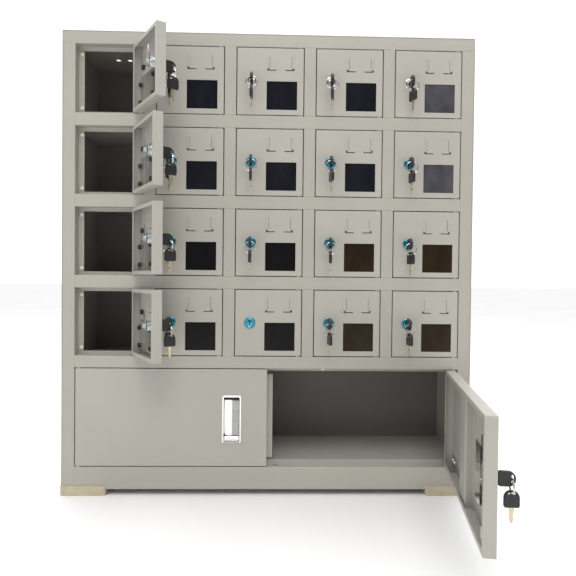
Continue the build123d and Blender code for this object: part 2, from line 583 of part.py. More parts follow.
with BuildPart() as right_door:
    wide_door(right_leaf, -1)
    disc(right_face, [(BIG_LOCK_X, BIG_LOCK_Y)], BARREL_R, -SKIN, Mode.SUBTRACT)
    for x, s in ((UPPER_BOLT_X, 1), (LOWER_BOLT_X, -1)):
        plate(
            right_face.offset(-BOLT_FRONT + 1), [(x, s * door_half, BOLT_WIDTH + 1.6, 3 * SKIN)],
            -BOLT - 2, Mode.SUBTRACT,
        )
with BuildPart() as right_stiffener:
    stiffener(right_leaf, -1)
with BuildPart() as right_brackets:
    hinge_brackets(right_leaf, -1)
with BuildPart() as bolt_guides:
    bolts = ((UPPER_BOLT_X, GUIDE_Y), (LOWER_BOLT_X, -door_half + 26))
    guide = [(x, y, BOLT_WIDTH + 8, 16) for x, y in bolts]
    plate(right_face.offset(-SKIN), guide, -(BOLT_FRONT + BOLT + 2.5 - SKIN))
    tunnel = [(x, y, BOLT_WIDTH + 1, 18) for x, y in bolts]
    plate(right_face.offset(-BOLT_FRONT + 0.5), tunnel, -(BOLT + 1), Mode.SUBTRACT)
with BuildPart() as big_barrel:
    disc(right_face, [(BIG_LOCK_X, BIG_LOCK_Y)], BEZEL_R, BEZEL_PROUD)
    disc(right_face, [(BIG_LOCK_X, BIG_LOCK_Y)], BARREL_R, -BIG_BARREL)
    bore = [(BIG_LOCK_X, BIG_LOCK_Y)]
    disc(right_face.offset(BEZEL_PROUD), bore, PLUG_R + PIN_CLEAR, -BIG_BARREL - 3, Mode.SUBTRACT)
with BuildPart() as big_nut:
    with BuildSketch(right_face.offset(-SKIN)):
        with Locations((BIG_LOCK_X, BIG_LOCK_Y)):
            RegularPolygon(13.5, 6)
            Circle(BARREL_R, mode=Mode.SUBTRACT)
    extrude(amount=-4)
put(joined(right_door, right_stiffener, right_brackets, bolt_guides, big_barrel, big_nut), "right_door")

with BuildPart() as right_handle:
    handle(right_leaf, -1)
put(right_handle.part, "right_handle")

with BuildPart() as right_lock:
    crank_spots = [(BIG_LOCK_X - pin_reach, BIG_LOCK_Y + pin_reach)]
    crank_spots += [(BIG_LOCK_X + pin_reach, BIG_LOCK_Y - pin_reach)]
    disc(right_face.offset(PLUG_PROUD), bore, PLUG_R, -BIG_BARREL - PLUG_PROUD - 0.5)
    plate(right_face.offset(PLUG_PROUD), [(BIG_LOCK_X, BIG_LOCK_Y, *KEYWAY)], -KEYWAY_DEPTH, Mode.SUBTRACT)
    disc(right_face.offset(-BIG_BARREL - 0.4), [(BIG_LOCK_X, BIG_LOCK_Y)], CRANK_DISC_R, -CRANK_DISC)
    disc(right_face.offset(-BIG_BARREL - 0.6), crank_spots, CRANK_PIN_R, -(BOLT_FRONT + BOLT + 0.8 - BIG_BARREL))
put(right_lock.part, "right_lock")

with BuildPart() as lower_bolt:
    y_pin = BIG_LOCK_Y + pin_reach
    x_foot = BIG_LOCK_X - CRANK_R * 0.86
    bolt_plane = right_face.offset(-BOLT_FRONT)
    tip = -door_half + 0.4
    plate(bolt_plane, [(x_foot, y_pin, 13, 12), (LOWER_BOLT_X, (y_pin + tip) / 2, BOLT_WIDTH, y_pin - tip)], -BOLT)
    with BuildSketch(bolt_plane):
        with Locations((x_foot, y_pin)):
            SlotOverall(2 * CRANK_PIN_R + 2 * SLOT_PLAY + 4, 2 * CRANK_PIN_R + 2 * SLOT_PLAY)
    extrude(amount=-BOLT, mode=Mode.SUBTRACT)
put(lower_bolt.part, "lower_bolt")

with BuildPart() as upper_bolt:
    y_pin = BIG_LOCK_Y - pin_reach
    x_foot = BIG_LOCK_X + CRANK_R * 0.86
    tip = door_half - 0.4
    jog_low, jog_high = BIG_LOCK_Y + 10, BIG_LOCK_Y + 26
    half = BOLT_WIDTH / 2
    plate(bolt_plane, [(x_foot, y_pin, 13, 12), (x_foot, (y_pin + jog_low) / 2, BOLT_WIDTH, jog_low - y_pin)], -BOLT)
    with BuildSketch(bolt_plane):
        with BuildLine():
            Polyline(
                (x_foot + half, jog_low), (UPPER_BOLT_X + half, jog_high), (UPPER_BOLT_X + half, tip),
                (UPPER_BOLT_X - half, tip), (UPPER_BOLT_X - half, jog_high), (x_foot - half, jog_low),
                close=True,
            )
        make_face()
    extrude(amount=-BOLT)
    with BuildSketch(bolt_plane):
        with Locations((x_foot, y_pin)):
            SlotOverall(2 * CRANK_PIN_R + 2 * SLOT_PLAY + 4, 2 * CRANK_PIN_R + 2 * SLOT_PLAY)
    extrude(amount=-BOLT, mode=Mode.SUBTRACT)
put(upper_bolt.part, "upper_bolt")
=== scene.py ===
"""Looks of a phone charging kiosk: a sheet-steel locker of twenty window doors over one wide compartment.

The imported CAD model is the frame. Each class below builds one sub-assembly around it: the face
frame, the small doors with their locks and keys, the two wings of the wide compartment, the feet,
the casing's finishes, and the studio. Lengths inside the classes are millimetres.
"""

import json
import logging
from dataclasses import dataclass, field
from enum import Enum
from math import cos, pi, radians, sin

import bpy
import numpy as np
from mathutils import Matrix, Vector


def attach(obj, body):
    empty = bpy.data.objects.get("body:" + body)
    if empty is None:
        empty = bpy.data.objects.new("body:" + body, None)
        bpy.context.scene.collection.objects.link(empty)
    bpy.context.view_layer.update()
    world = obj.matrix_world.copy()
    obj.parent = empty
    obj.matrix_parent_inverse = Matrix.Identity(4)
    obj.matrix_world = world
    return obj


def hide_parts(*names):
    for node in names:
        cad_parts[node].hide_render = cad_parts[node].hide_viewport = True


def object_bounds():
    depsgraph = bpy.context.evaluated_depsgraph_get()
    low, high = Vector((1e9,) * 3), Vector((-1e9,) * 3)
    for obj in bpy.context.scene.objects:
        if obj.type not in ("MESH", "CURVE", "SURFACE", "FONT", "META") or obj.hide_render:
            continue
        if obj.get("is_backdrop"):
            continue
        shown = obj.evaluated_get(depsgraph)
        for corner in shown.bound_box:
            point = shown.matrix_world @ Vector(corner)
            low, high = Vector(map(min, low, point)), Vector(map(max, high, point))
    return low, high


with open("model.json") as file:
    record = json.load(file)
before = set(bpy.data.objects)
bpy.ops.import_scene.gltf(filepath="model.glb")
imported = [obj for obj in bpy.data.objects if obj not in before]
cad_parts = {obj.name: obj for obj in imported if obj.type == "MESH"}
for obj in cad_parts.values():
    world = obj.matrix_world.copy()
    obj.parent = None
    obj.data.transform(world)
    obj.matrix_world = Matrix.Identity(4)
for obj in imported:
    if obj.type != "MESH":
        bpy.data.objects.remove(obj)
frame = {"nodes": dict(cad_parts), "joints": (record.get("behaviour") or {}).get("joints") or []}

CAD_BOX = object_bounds()
MM = 0.001
SHARP_FROM = radians(38.0)
LOG = logging.getLogger("kiosk")
JOINTS = {joint["name"]: joint for joint in frame["joints"]}
Array = np.ndarray


# ---------------------------------------------------------------- shapes
@dataclass(frozen=True)
class Shape:
    """Points, faces of four corners (a fourth of -1 makes a triangle) and each face's finish number."""

    points: Array
    faces: Array
    finish: Array

    def turned_out(self) -> "Shape":
        """Returns the closed shape with its faces pointing outwards, judged by its signed volume."""
        a, b, c = (self.points[self.faces[:, k]] for k in range(3))
        d = self.points[np.where(self.faces[:, 3] < 0, self.faces[:, 2], self.faces[:, 3])]
        volume = np.einsum("ij,ij->", a, np.cross(b, c)) + np.einsum("ij,ij->", a, np.cross(c, d))
        if volume >= 0:
            return self
        flipped = self.faces[:, [2, 1, 0, 3]]
        quads = self.faces[:, 3] >= 0
        flipped[quads] = self.faces[quads][:, ::-1]
        return Shape(self.points, flipped, self.finish)

    def finished(self, number: int) -> "Shape":
        """Returns the shape with every face in the finish of that number."""
        return Shape(self.points, self.faces, np.full(len(self.faces), number))

    def turned(self, angle: float, axis: int, about: tuple[float, float, float]) -> "Shape":
        """Returns the shape turned by angle (radians) about a line through a point, along axis 0, 1 or 2."""
        i, j = (axis + 1) % 3, (axis + 2) % 3
        points = self.points - np.array(about)
        turned = points.copy()
        turned[:, i] = cos(angle) * points[:, i] - sin(angle) * points[:, j]
        turned[:, j] = sin(angle) * points[:, i] + cos(angle) * points[:, j]
        return Shape(turned + np.array(about), self.faces, self.finish)

    def shifted(self, x: float, y: float, z: float) -> "Shape":
        """Returns the shape moved by (x, y, z)."""
        return Shape(self.points + np.array([x, y, z]), self.faces, self.finish)

    def swapped(self, order: tuple[int, int, int]) -> "Shape":
        """Returns the shape with its coordinates taken in another order, faces outward again."""
        return Shape(self.points[:, order], self.faces, self.finish).turned_out()


def together(shapes: list[Shape]) -> Shape:
    """Joins shapes into one.

    Args:
        shapes: the shapes, each with its own faces and finish numbers.

    Returns:
        One shape that holds them all.
    """
    starts = np.cumsum([0] + [len(s.points) for s in shapes])
    faces = [np.where(s.faces < 0, -1, s.faces + n) for s, n in zip(shapes, starts)]
    points, finish = [s.points for s in shapes], [s.finish for s in shapes]
    return Shape(np.concatenate(points), np.concatenate(faces), np.concatenate(finish))


def loft(rings: Array, closed: bool = False, capped: bool = True) -> Shape:
    """Skins a stack of closed outlines: quad (i, j) joins points j and j+1 of rings i and i+1.

    Args:
        rings: (rings, points, 3) corners; every ring has the same number of points.
        closed: the last ring joins the first, as on a torus.
        capped: the end rings are closed by fans to their middles.

    Returns:
        The skin, with its faces pointing outwards.
    """
    count, around = rings.shape[:2]
    index = np.arange(count * around).reshape(count, around)
    lower = index if closed else index[:-1]
    upper = np.roll(index, -1, 0) if closed else index[1:]
    quads = np.stack([lower, np.roll(lower, -1, 1), np.roll(upper, -1, 1), upper], -1).reshape(-1, 4)
    points = rings.reshape(-1, 3)
    faces = [quads]
    if capped and not closed:
        middles = rings[[0, -1]].mean(1)
        for ring, middle, way in ((index[0], len(points), -1), (index[-1], len(points) + 1, 1)):
            fan = np.stack([ring, np.roll(ring, -1), np.full(around, middle), np.full(around, -1)], -1)
            faces.append(fan if way > 0 else fan[:, [1, 0, 2, 3]])
        points = np.concatenate([points, middles])
    faces = np.concatenate(faces)
    return Shape(points, faces, np.zeros(len(faces), int)).turned_out()


def outline(
    half_x: float, half_y: float, radius: float, x: float = 0.0, y: float = 0.0, steps: int = 3
) -> Array:
    """Rounded rectangle: four quarter circles, one at each corner, joined by straight sides.

    Args:
        half_x: half the width.
        half_y: half the height.
        radius: the corners' radius.
        x: the middle's x.
        y: the middle's y.
        steps: the parts that each quarter circle is cut into.

    Returns:
        (points, 2) corners, anticlockwise.
    """
    radius = max(min(radius, half_x, half_y), 1e-4)
    quarter = np.linspace(0, pi / 2, steps + 1)
    angle = np.concatenate([quarter + k * pi / 2 for k in range(4)])
    corner_x = np.repeat([1, -1, -1, 1], steps + 1) * (half_x - radius)
    corner_y = np.repeat([1, 1, -1, -1], steps + 1) * (half_y - radius)
    return np.stack([x + corner_x + radius * np.cos(angle), y + corner_y + radius * np.sin(angle)], -1)


def at_height(flat: Array, z: float) -> Array:
    """Lifts a flat outline to height z as a ring of 3-D points."""
    return np.column_stack([flat, np.full(len(flat), z)])


def stacked(sections: list[tuple], x: float = 0.0, y: float = 0.0, steps: int = 3) -> Shape:
    """Body through rounded rectangles about one upright axis.

    Args:
        sections: each one's half width, half height, z and corner radius, from one end to the other.
        x: the axis's x.
        y: the axis's y.
        steps: the parts that each quarter circle is cut into.

    Returns:
        The body, its ends closed.
    """
    return loft(np.stack([at_height(outline(a, b, r, x, y, steps), z) for a, b, z, r in sections]))


def block(low: tuple, high: tuple, radius: float, steps: int = 2) -> Shape:
    """Box with every edge rounded: at height angle a its outline is inset by radius (1 - sin a).

    Args:
        low: the lowest corner.
        high: the highest corner.
        radius: the edges' radius.
        steps: the parts that each quarter of rounding is cut into.

    Returns:
        The box.
    """
    middle_x, middle_y = (low[0] + high[0]) / 2, (low[1] + high[1]) / 2
    half_x, half_y = (high[0] - low[0]) / 2, (high[1] - low[1]) / 2
    sections = []
    for side, base in ((-1, low[2]), (1, high[2])):
        for a in np.linspace(0, pi / 2, steps + 1)[:: -side]:
            inset, z = radius * (1 - sin(a)), base - side * radius * (1 - cos(a))
            sections.append((half_x - inset, half_y - inset, z, radius - inset))
    return stacked(sections, middle_x, middle_y, steps)


def turned_profile(profile: list[tuple[float, float]], around: int = 32) -> Shape:
    """Body of revolution: each (radius, height) of the profile becomes a circle about z.

    Args:
        profile: radii and heights from one end to the other.
        around: the points in each circle.

    Returns:
        The body, its ends closed.
    """
    angle = np.linspace(0, 2 * pi, around, endpoint=False)
    radius, height = np.array(profile, float).T
    circle = np.stack([np.cos(angle), np.sin(angle)], -1)
    flat = radius[:, None, None] * circle[None]
    rings = np.concatenate([flat, np.broadcast_to(height[:, None, None], flat.shape[:2] + (1,))], -1)
    return loft(rings)


def torus(major: float, minor: float, around: int = 36, across: int = 8) -> Shape:
    """Ring about z: a circle of radius minor carried round a circle of radius major."""
    u, v = np.linspace(0, 2 * pi, around, endpoint=False), np.linspace(0, 2 * pi, across, endpoint=False)
    reach = major + minor * np.cos(v)[None]
    height = np.broadcast_to(minor * np.sin(v)[None], (around, across))
    rings = np.stack([reach * np.cos(u)[:, None], reach * np.sin(u)[:, None], height], -1)
    return loft(rings, closed=True)


def bent(corners: list[tuple[float, float]], radius: float, steps: int = 4) -> Array:
    """Open line through corners, each inner corner rounded by an arc tangent to its two sides.

    Args:
        corners: the line's corners.
        radius: the arcs' radius.
        steps: the parts that each arc is cut into.

    Returns:
        (points, 2) line.
    """
    points = np.array(corners, float)
    line = [points[:1]]
    for before, corner, after in zip(points, points[1:], points[2:]):
        a, b = (v / np.linalg.norm(v) for v in (before - corner, after - corner))
        half = np.arccos(np.clip(a @ b, -1, 1)) / 2
        middle = corner + (a + b) / np.linalg.norm(a + b) * radius / sin(half)
        start, end = corner + a * radius / np.tan(half) - middle, corner + b * radius / np.tan(half) - middle
        turn = np.linspace(0, 1, steps + 1)[:, None]
        spread = np.arccos(np.clip(start @ end / radius**2, -1, 1))
        line.append(middle + (np.sin((1 - turn) * spread) * start + np.sin(turn * spread) * end) / sin(spread))
    return np.concatenate(line + [points[-1:]])


def sheet(line: Array, thickness: float, start: float, end: float) -> Shape:
    """Sheet metal of a bent section: the line and its offset, carried from start to end.

    Each point's offset is thickness along the mean of its two sides' normals, over the cosine of half the turn.

    Args:
        line: (points, 2) section line.
        thickness: the sheet's thickness, to the left of the line's direction.
        start: where the run begins, along the third axis.
        end: where it ends.

    Returns:
        The sheet, its section in the first two coordinates and its run along the third.
    """
    side = np.diff(line, axis=0)
    side /= np.linalg.norm(side, axis=1)[:, None]
    normal = np.stack([-side[:, 1], side[:, 0]], -1)
    mean = np.concatenate([normal[:1], normal[:-1] + normal[1:], normal[-1:]])
    mean /= np.linalg.norm(mean, axis=1)[:, None]
    stretch = np.concatenate([[1], 1 / np.clip((mean[1:-1] * normal[1:]).sum(1), 0.3, 1), [1]])
    other = line + mean * (thickness * stretch)[:, None]
    ring = np.concatenate([line, other[::-1]])
    body = loft(np.stack([at_height(ring, start), at_height(ring, end)]), capped=False)
    count, n = len(line), len(ring)
    i = np.arange(count - 1)
    cap = np.stack([i, i + 1, n - 2 - i, n - 1 - i], -1)
    faces = np.concatenate([body.faces, cap[:, ::-1], cap + n])
    return Shape(body.points, faces, np.zeros(len(faces), int))


# ---------------------------------------------------------------- placing and writing pieces
@dataclass(frozen=True)
class Placement:
    """A local frame in millimetres: where its origin lies in metres, and its three directions."""

    origin: tuple[float, float, float] = (0.0, 0.0, 0.0)
    x: tuple[float, float, float] = (1.0, 0.0, 0.0)
    y: tuple[float, float, float] = (0.0, 1.0, 0.0)
    z: tuple[float, float, float] = (0.0, 0.0, 1.0)

    def world(self, points: Array) -> Array:
        """Returns local millimetres as metres in the row's frame."""
        return np.array(self.origin) + points @ np.array([self.x, self.y, self.z]) * MM


def leaf_placement(joint: str, turn: float) -> Placement:
    """Frame of a hinged door: x along the leaf, y up, z out of its face, the origin on the hinge axis.

    Args:
        joint: the hinge's name in the record.
        turn: how far the leaf stands open at rest, in degrees, anticlockwise from above.

    Returns:
        The placement.
    """
    a = radians(turn)
    along, out = (cos(a), sin(a), 0.0), (sin(a), -cos(a), 0.0)
    return Placement(tuple(JOINTS[joint]["pos_m"]), along, (0.0, 0.0, 1.0), out)


def make_piece(
    name: str, shape: Shape, place: Placement, finishes: "list[Finish]", body: str,
    replaces: tuple = (),
) -> bpy.types.Object:
    """Writes a shape into a mesh object that rides on a body.

    Args:
        name: the piece's name.
        shape: its points and faces in the placement's millimetres.
        place: where it lies.
        finishes: its finishes, in the order of the shape's finish numbers.
        body: the CAD body that it moves with.
        replaces: the CAD nodes that it stands for.

    Returns:
        The object.
    """
    faces = shape.faces
    if np.dot(np.cross(place.x, place.y), place.z) < 0:
        faces = faces[:, ::-1]
    used = faces >= 0
    totals = used.sum(1)
    mesh = bpy.data.meshes.new(name)
    mesh.vertices.add(len(shape.points))
    mesh.vertices.foreach_set("co", place.world(shape.points).astype(np.float32).ravel())
    mesh.loops.add(int(totals.sum()))
    mesh.loops.foreach_set("vertex_index", faces[used].astype(np.int32))
    mesh.polygons.add(len(faces))
    mesh.polygons.foreach_set("loop_start", (np.cumsum(totals) - totals).astype(np.int32))
    mesh.polygons.foreach_set("loop_total", totals.astype(np.int32))
    for finish in finishes:
        mesh.materials.append(finish.get())
    mesh.polygons.foreach_set("material_index", shape.finish.astype(np.int32))
    mesh.polygons.foreach_set("use_smooth", np.ones(len(faces), bool))
    mesh.update(calc_edges=True)
    mesh.validate()
    mesh.set_sharp_from_angle(angle=SHARP_FROM)
    piece = bpy.data.objects.new(name, mesh)
    bpy.context.scene.collection.objects.link(piece)
    weighted = piece.modifiers.new("weighted_normals", "WEIGHTED_NORMAL")
    weighted.keep_sharp = True
    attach(piece, body)
    if replaces:
        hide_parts(*replaces)
    LOG.info("%s: %d faces on %s", name, len(faces), body)
    return piece


# ---------------------------------------------------------------- finishes
class Graph:
    """A new node material: a Principled shader, and helpers that add and join nodes."""

    def __init__(self, name: str) -> None:
        """Makes the material and finds its shader."""
        self.material = bpy.data.materials.new(name)
        self.material.use_nodes = True
        self.tree = self.material.node_tree
        self.shader = self.tree.nodes["Principled BSDF"]

    def node(self, kind: str, links: dict | None = None, **values: float) -> bpy.types.Node:
        """Adds a node.

        Args:
            kind: the node's type.
            links: input name to the output socket that feeds it.
            values: attribute or input values, with _ for a space in an input's name.

        Returns:
            The node.
        """
        node = self.tree.nodes.new(kind)
        for key, value in values.items():
            if hasattr(node, key):
                setattr(node, key, value)
            else:
                node.inputs[key.replace("_", " ")].default_value = value
        for key, socket in (links or {}).items():
            self.tree.links.new(socket, node.inputs[key])
        return node

    def noise(
        self, scale: float, detail: float = 2.0, stretch: tuple = (1.0, 1.0, 1.0)
    ) -> bpy.types.NodeSocket:
        """Returns noise on Object coordinates, stretched along an axis where asked."""
        coordinates = self.node("ShaderNodeTexCoord").outputs["Object"]
        mapping = self.node("ShaderNodeMapping", {"Vector": coordinates}, Scale=stretch)
        links = {"Vector": mapping.outputs["Vector"]}
        return self.node("ShaderNodeTexNoise", links, Scale=scale, Detail=detail).outputs["Fac"]

    def ramp(self, source: bpy.types.NodeSocket, low: float, high: float) -> bpy.types.NodeSocket:
        """Returns the source mapped from 0.3-0.7 to low-high."""
        reach = {"From_Min": 0.3, "From_Max": 0.7, "To_Min": low, "To_Max": high}
        return self.node("ShaderNodeMapRange", {"Value": source}, **reach).outputs["Result"]

    def tint(self, source: bpy.types.NodeSocket, first: tuple, second: tuple) -> bpy.types.NodeSocket:
        """Returns a mix of two colours by the source."""
        node = self.node("ShaderNodeMix", data_type="RGBA")
        self.tree.links.new(source, node.inputs[0])
        node.inputs[6].default_value, node.inputs[7].default_value = (*first, 1.0), (*second, 1.0)
        return node.outputs[2]

    def cloud(self, source: bpy.types.NodeSocket, colour: tuple, swing: float) -> None:
        """Feeds the base colour: the colour made darker and lighter by the swing, mixed by the source."""
        dark, light = scaled(colour, 1 - swing), scaled(colour, 1 + swing)
        self.wire(self.tint(self.ramp(source, 0.0, 1.0), dark, light), "Base Color")

    def wire(self, source: bpy.types.NodeSocket, name: str) -> None:
        """Joins an output to the shader's input of that name."""
        self.tree.links.new(source, self.shader.inputs[name])

    def bump(self, source: bpy.types.NodeSocket, depth: float, strength: float = 1.0) -> None:
        """Raises the surface by the source, depth metres at most."""
        node = self.node("ShaderNodeBump", {"Height": source}, Strength=strength, Distance=depth)
        self.wire(node.outputs["Normal"], "Normal")

    def set(self, **values: float) -> None:
        """Sets the shader's own sockets, with _ for a space in a name."""
        for key, value in values.items():
            self.shader.inputs[key.replace("_", " ")].default_value = value


def scaled(colour: tuple, by: float) -> tuple:
    """Returns a colour made lighter or darker."""
    return tuple(min(c * by, 1.0) for c in colour)


@dataclass(frozen=True)
class PowderCoat:
    """Baked powder paint: a fine orange peel, faint clouding, and a soft gloss that varies with it."""

    name: str
    colour: tuple[float, float, float]
    roughness: float = 0.42
    peel: float = 620.0
    peel_depth: float = 0.00003
    clouding: float = 0.035

    def make(self) -> bpy.types.Material:
        """Returns the material."""
        g = Graph(self.name)
        g.cloud(g.noise(5.0, 3.0), self.colour, self.clouding)
        g.wire(g.ramp(g.noise(38.0), self.roughness - 0.05, self.roughness + 0.06), "Roughness")
        g.bump(g.noise(self.peel, 1.0), self.peel_depth)
        g.set(Specular_IOR_Level=0.42)
        return g.material


@dataclass(frozen=True)
class Metal:
    """Plated or polished metal: micro scratches along one direction move its gloss and its surface."""

    name: str
    colour: tuple[float, float, float]
    roughness: float = 0.16
    scratch: tuple[float, float, float] = (1.0, 1.0, 0.08)
    mottle: float = 0.12

    def make(self) -> bpy.types.Material:
        """Returns the material."""
        g = Graph(self.name)
        g.cloud(g.noise(140.0, 3.0), self.colour, self.mottle)
        scratches = g.noise(900.0, 2.0, self.scratch)
        g.wire(g.ramp(scratches, self.roughness * 0.7, self.roughness * 1.4), "Roughness")
        g.bump(g.noise(1300.0, 1.0, self.scratch), 0.00001)
        g.set(Metallic=1.0)
        return g.material


@dataclass(frozen=True)
class Plastic:
    """Moulded plastic or rubber: fine grain, faint handling marks."""

    name: str
    colour: tuple[float, float, float]
    roughness: float = 0.45
    grain: float = 900.0
    grain_depth: float = 0.00003
    coat: float = 0.0
    marks: float = 0.1

    def make(self) -> bpy.types.Material:
        """Returns the material."""
        g = Graph(self.name)
        g.cloud(g.noise(55.0, 4.0), self.colour, self.marks)
        g.wire(g.ramp(g.noise(120.0), self.roughness - 0.06, self.roughness + 0.08), "Roughness")
        g.bump(g.noise(self.grain, 2.0), self.grain_depth)
        g.set(Coat_Weight=self.coat, Coat_Roughness=0.05)
        return g.material


@dataclass(frozen=True)
class AcrylicPane:
    """Acrylic pane, glossy, with a faint cloud of haze and fine wipe marks: clear and see-through, or opaque in
    a near-black colour that paints the shade behind a closed window.
    """

    name: str
    colour: tuple[float, float, float]
    haze: float = 0.35
    clear: float = 0.0

    def make(self) -> bpy.types.Material:
        """Returns the material."""
        g = Graph(self.name)
        g.cloud(g.noise(26.0, 2.0, (1.0, 1.0, 0.6)), self.colour, self.haze)
        g.wire(g.ramp(g.noise(70.0, 4.0, (1.0, 1.0, 3.0)), 0.05, 0.12), "Roughness")
        g.set(Specular_IOR_Level=0.12, Transmission_Weight=self.clear)
        return g.material


class Finish(Enum):
    """Every finish on the kiosk."""

    FRAME = PowderCoat("frame_powder_coat", (0.415, 0.398, 0.352))
    DOOR = PowderCoat("door_powder_coat", (0.43, 0.413, 0.372))
    # Interior paint set far darker than the casing's own colour: painted shade of the enclosed small
    # compartments.
    INTERIOR = PowderCoat("interior_coat_painted_shade", (0.19, 0.183, 0.165), 0.5)
    WIDE_INTERIOR = PowderCoat("deck_powder_coat", (0.46, 0.45, 0.42), 0.5)
    FOOT = Plastic("foot_cream_plastic", (0.52, 0.46, 0.33), 0.5)
    # Black for painted shade: in the label holders' slots, the keyway and the pull's throat.
    SHADOW = Plastic("slot_shadow_black", (0.012, 0.012, 0.012), 0.7)
    KEY_HEAD = Plastic("key_head_black", (0.012, 0.012, 0.013), 0.36, 700.0)
    BLADE = Metal("key_blade_nickel_brass", (0.62, 0.52, 0.36), 0.24)
    RING = Metal("split_ring_nickel", (0.62, 0.60, 0.55), 0.14)
    CHROME = Metal("handle_chrome", (0.56, 0.57, 0.58), 0.09, mottle=0.05)
    GRIP = Metal("grip_satin_chrome", (0.36, 0.355, 0.34), 0.2, mottle=0.1)
    SILVER_LOCK = Metal("lock_bright_chrome", (0.78, 0.80, 0.82), 0.13)
    TEAL_LOCK = Metal("lock_teal_chrome", (0.085, 0.36, 0.50), 0.16)
    ZINC = Metal("bright_zinc", (0.58, 0.60, 0.60), 0.30)
    KNOB = Plastic("fixing_black", (0.02, 0.02, 0.021), 0.4)
    BUFFER = Plastic("buffer_white", (0.78, 0.77, 0.72), 0.5)
    OUTLET = Plastic("outlet_black", (0.022, 0.022, 0.025), 0.3, coat=0.3)
    HUB = Plastic("hub_case_black", (0.03, 0.03, 0.033), 0.5)
    # Near-black opaque panes for the closed doors: painted shade of the dark compartments seen through the
    # windows, each in its given tint.
    BLUE_PANE = AcrylicPane("pane_blue_painted_shade", (0.0085, 0.0095, 0.014))
    BLACK_PANE = AcrylicPane("pane_black_painted_shade", (0.006, 0.006, 0.007))
    BROWN_PANE = AcrylicPane("pane_brown_painted_shade", (0.024, 0.016, 0.008))
    GREY_PANE = AcrylicPane("pane_grey_painted_shade", (0.068, 0.068, 0.075))
    CLEAR_PANE = AcrylicPane("pane_clear_acrylic", (0.95, 0.955, 0.96), 0.03, 1.0)

    def get(self) -> bpy.types.Material:
        """Returns the finish's material, made on first use."""
        return bpy.data.materials.get(self.value.name) or self.value.make()


def dress(nodes: list[str], finish: Finish) -> None:
    """Gives carried-over CAD nodes a finish."""
    for name in nodes:
        for slot in frame["nodes"][name].material_slots:
            slot.material = finish.get()
        LOG.info("%s: %s", name, finish.name)


# ---------------------------------------------------------------- cabinet
@dataclass
class Cabinet:
    """Sizes that the sub-assemblies share, and the finishes of the casing's own CAD pieces."""

    width: float = 800.0
    height: float = 900.0
    depth: float = 240.0
    stile: float = 25.0
    opening: float = 132.0
    columns: int = 5
    rows: int = 4
    pitch_x: float = 154.5
    pitch_z: float = 156.5
    base_top: float = 56.0
    lower_top: float = 250.0
    first_row: float = 273.5
    ledge: float = 19.5
    stop: float = 7.0
    strike: float = 11.0
    hinge_stop: float = 6.0
    sill_stop: float = 9.0
    steel: float = 1.5
    feet: float = 12.0

    @property
    def front(self) -> float:
        """The face's y."""
        return -self.depth / 2

    @property
    def lefts(self) -> list[float]:
        """The x of each column's left edge."""
        return [-self.width / 2 + self.stile + self.pitch_x * c for c in range(self.columns)]

    @property
    def bottoms(self) -> list[float]:
        """The z of each row's lower edge, the top row first."""
        return [self.first_row + self.pitch_z * (self.rows - 1 - r) for r in range(self.rows)]

    def dress_casing(self) -> None:
        """Gives the casing, the shelves and the electrical parts their finishes, and the partitions and back
        panel a darkened colour that paints the compartments' shade.
        """
        dress(["outer_casing", "rear_cover"], Finish.FRAME)
        # The darkened interior colour paints the compartments' shade on the partitions and the back panel.
        dress(["partitions", "back_panel"], Finish.INTERIOR)
        dress(["decks"], Finish.WIDE_INTERIOR)
        dress(["usb_outlets", "power_inlet"], Finish.OUTLET)
        dress(["charger_hubs"], Finish.HUB)
        dress(["hinge_pins", "upper_bolt", "lower_bolt", "right_lock"], Finish.ZINC)
        dress(["door_bumpers"], Finish.BUFFER)


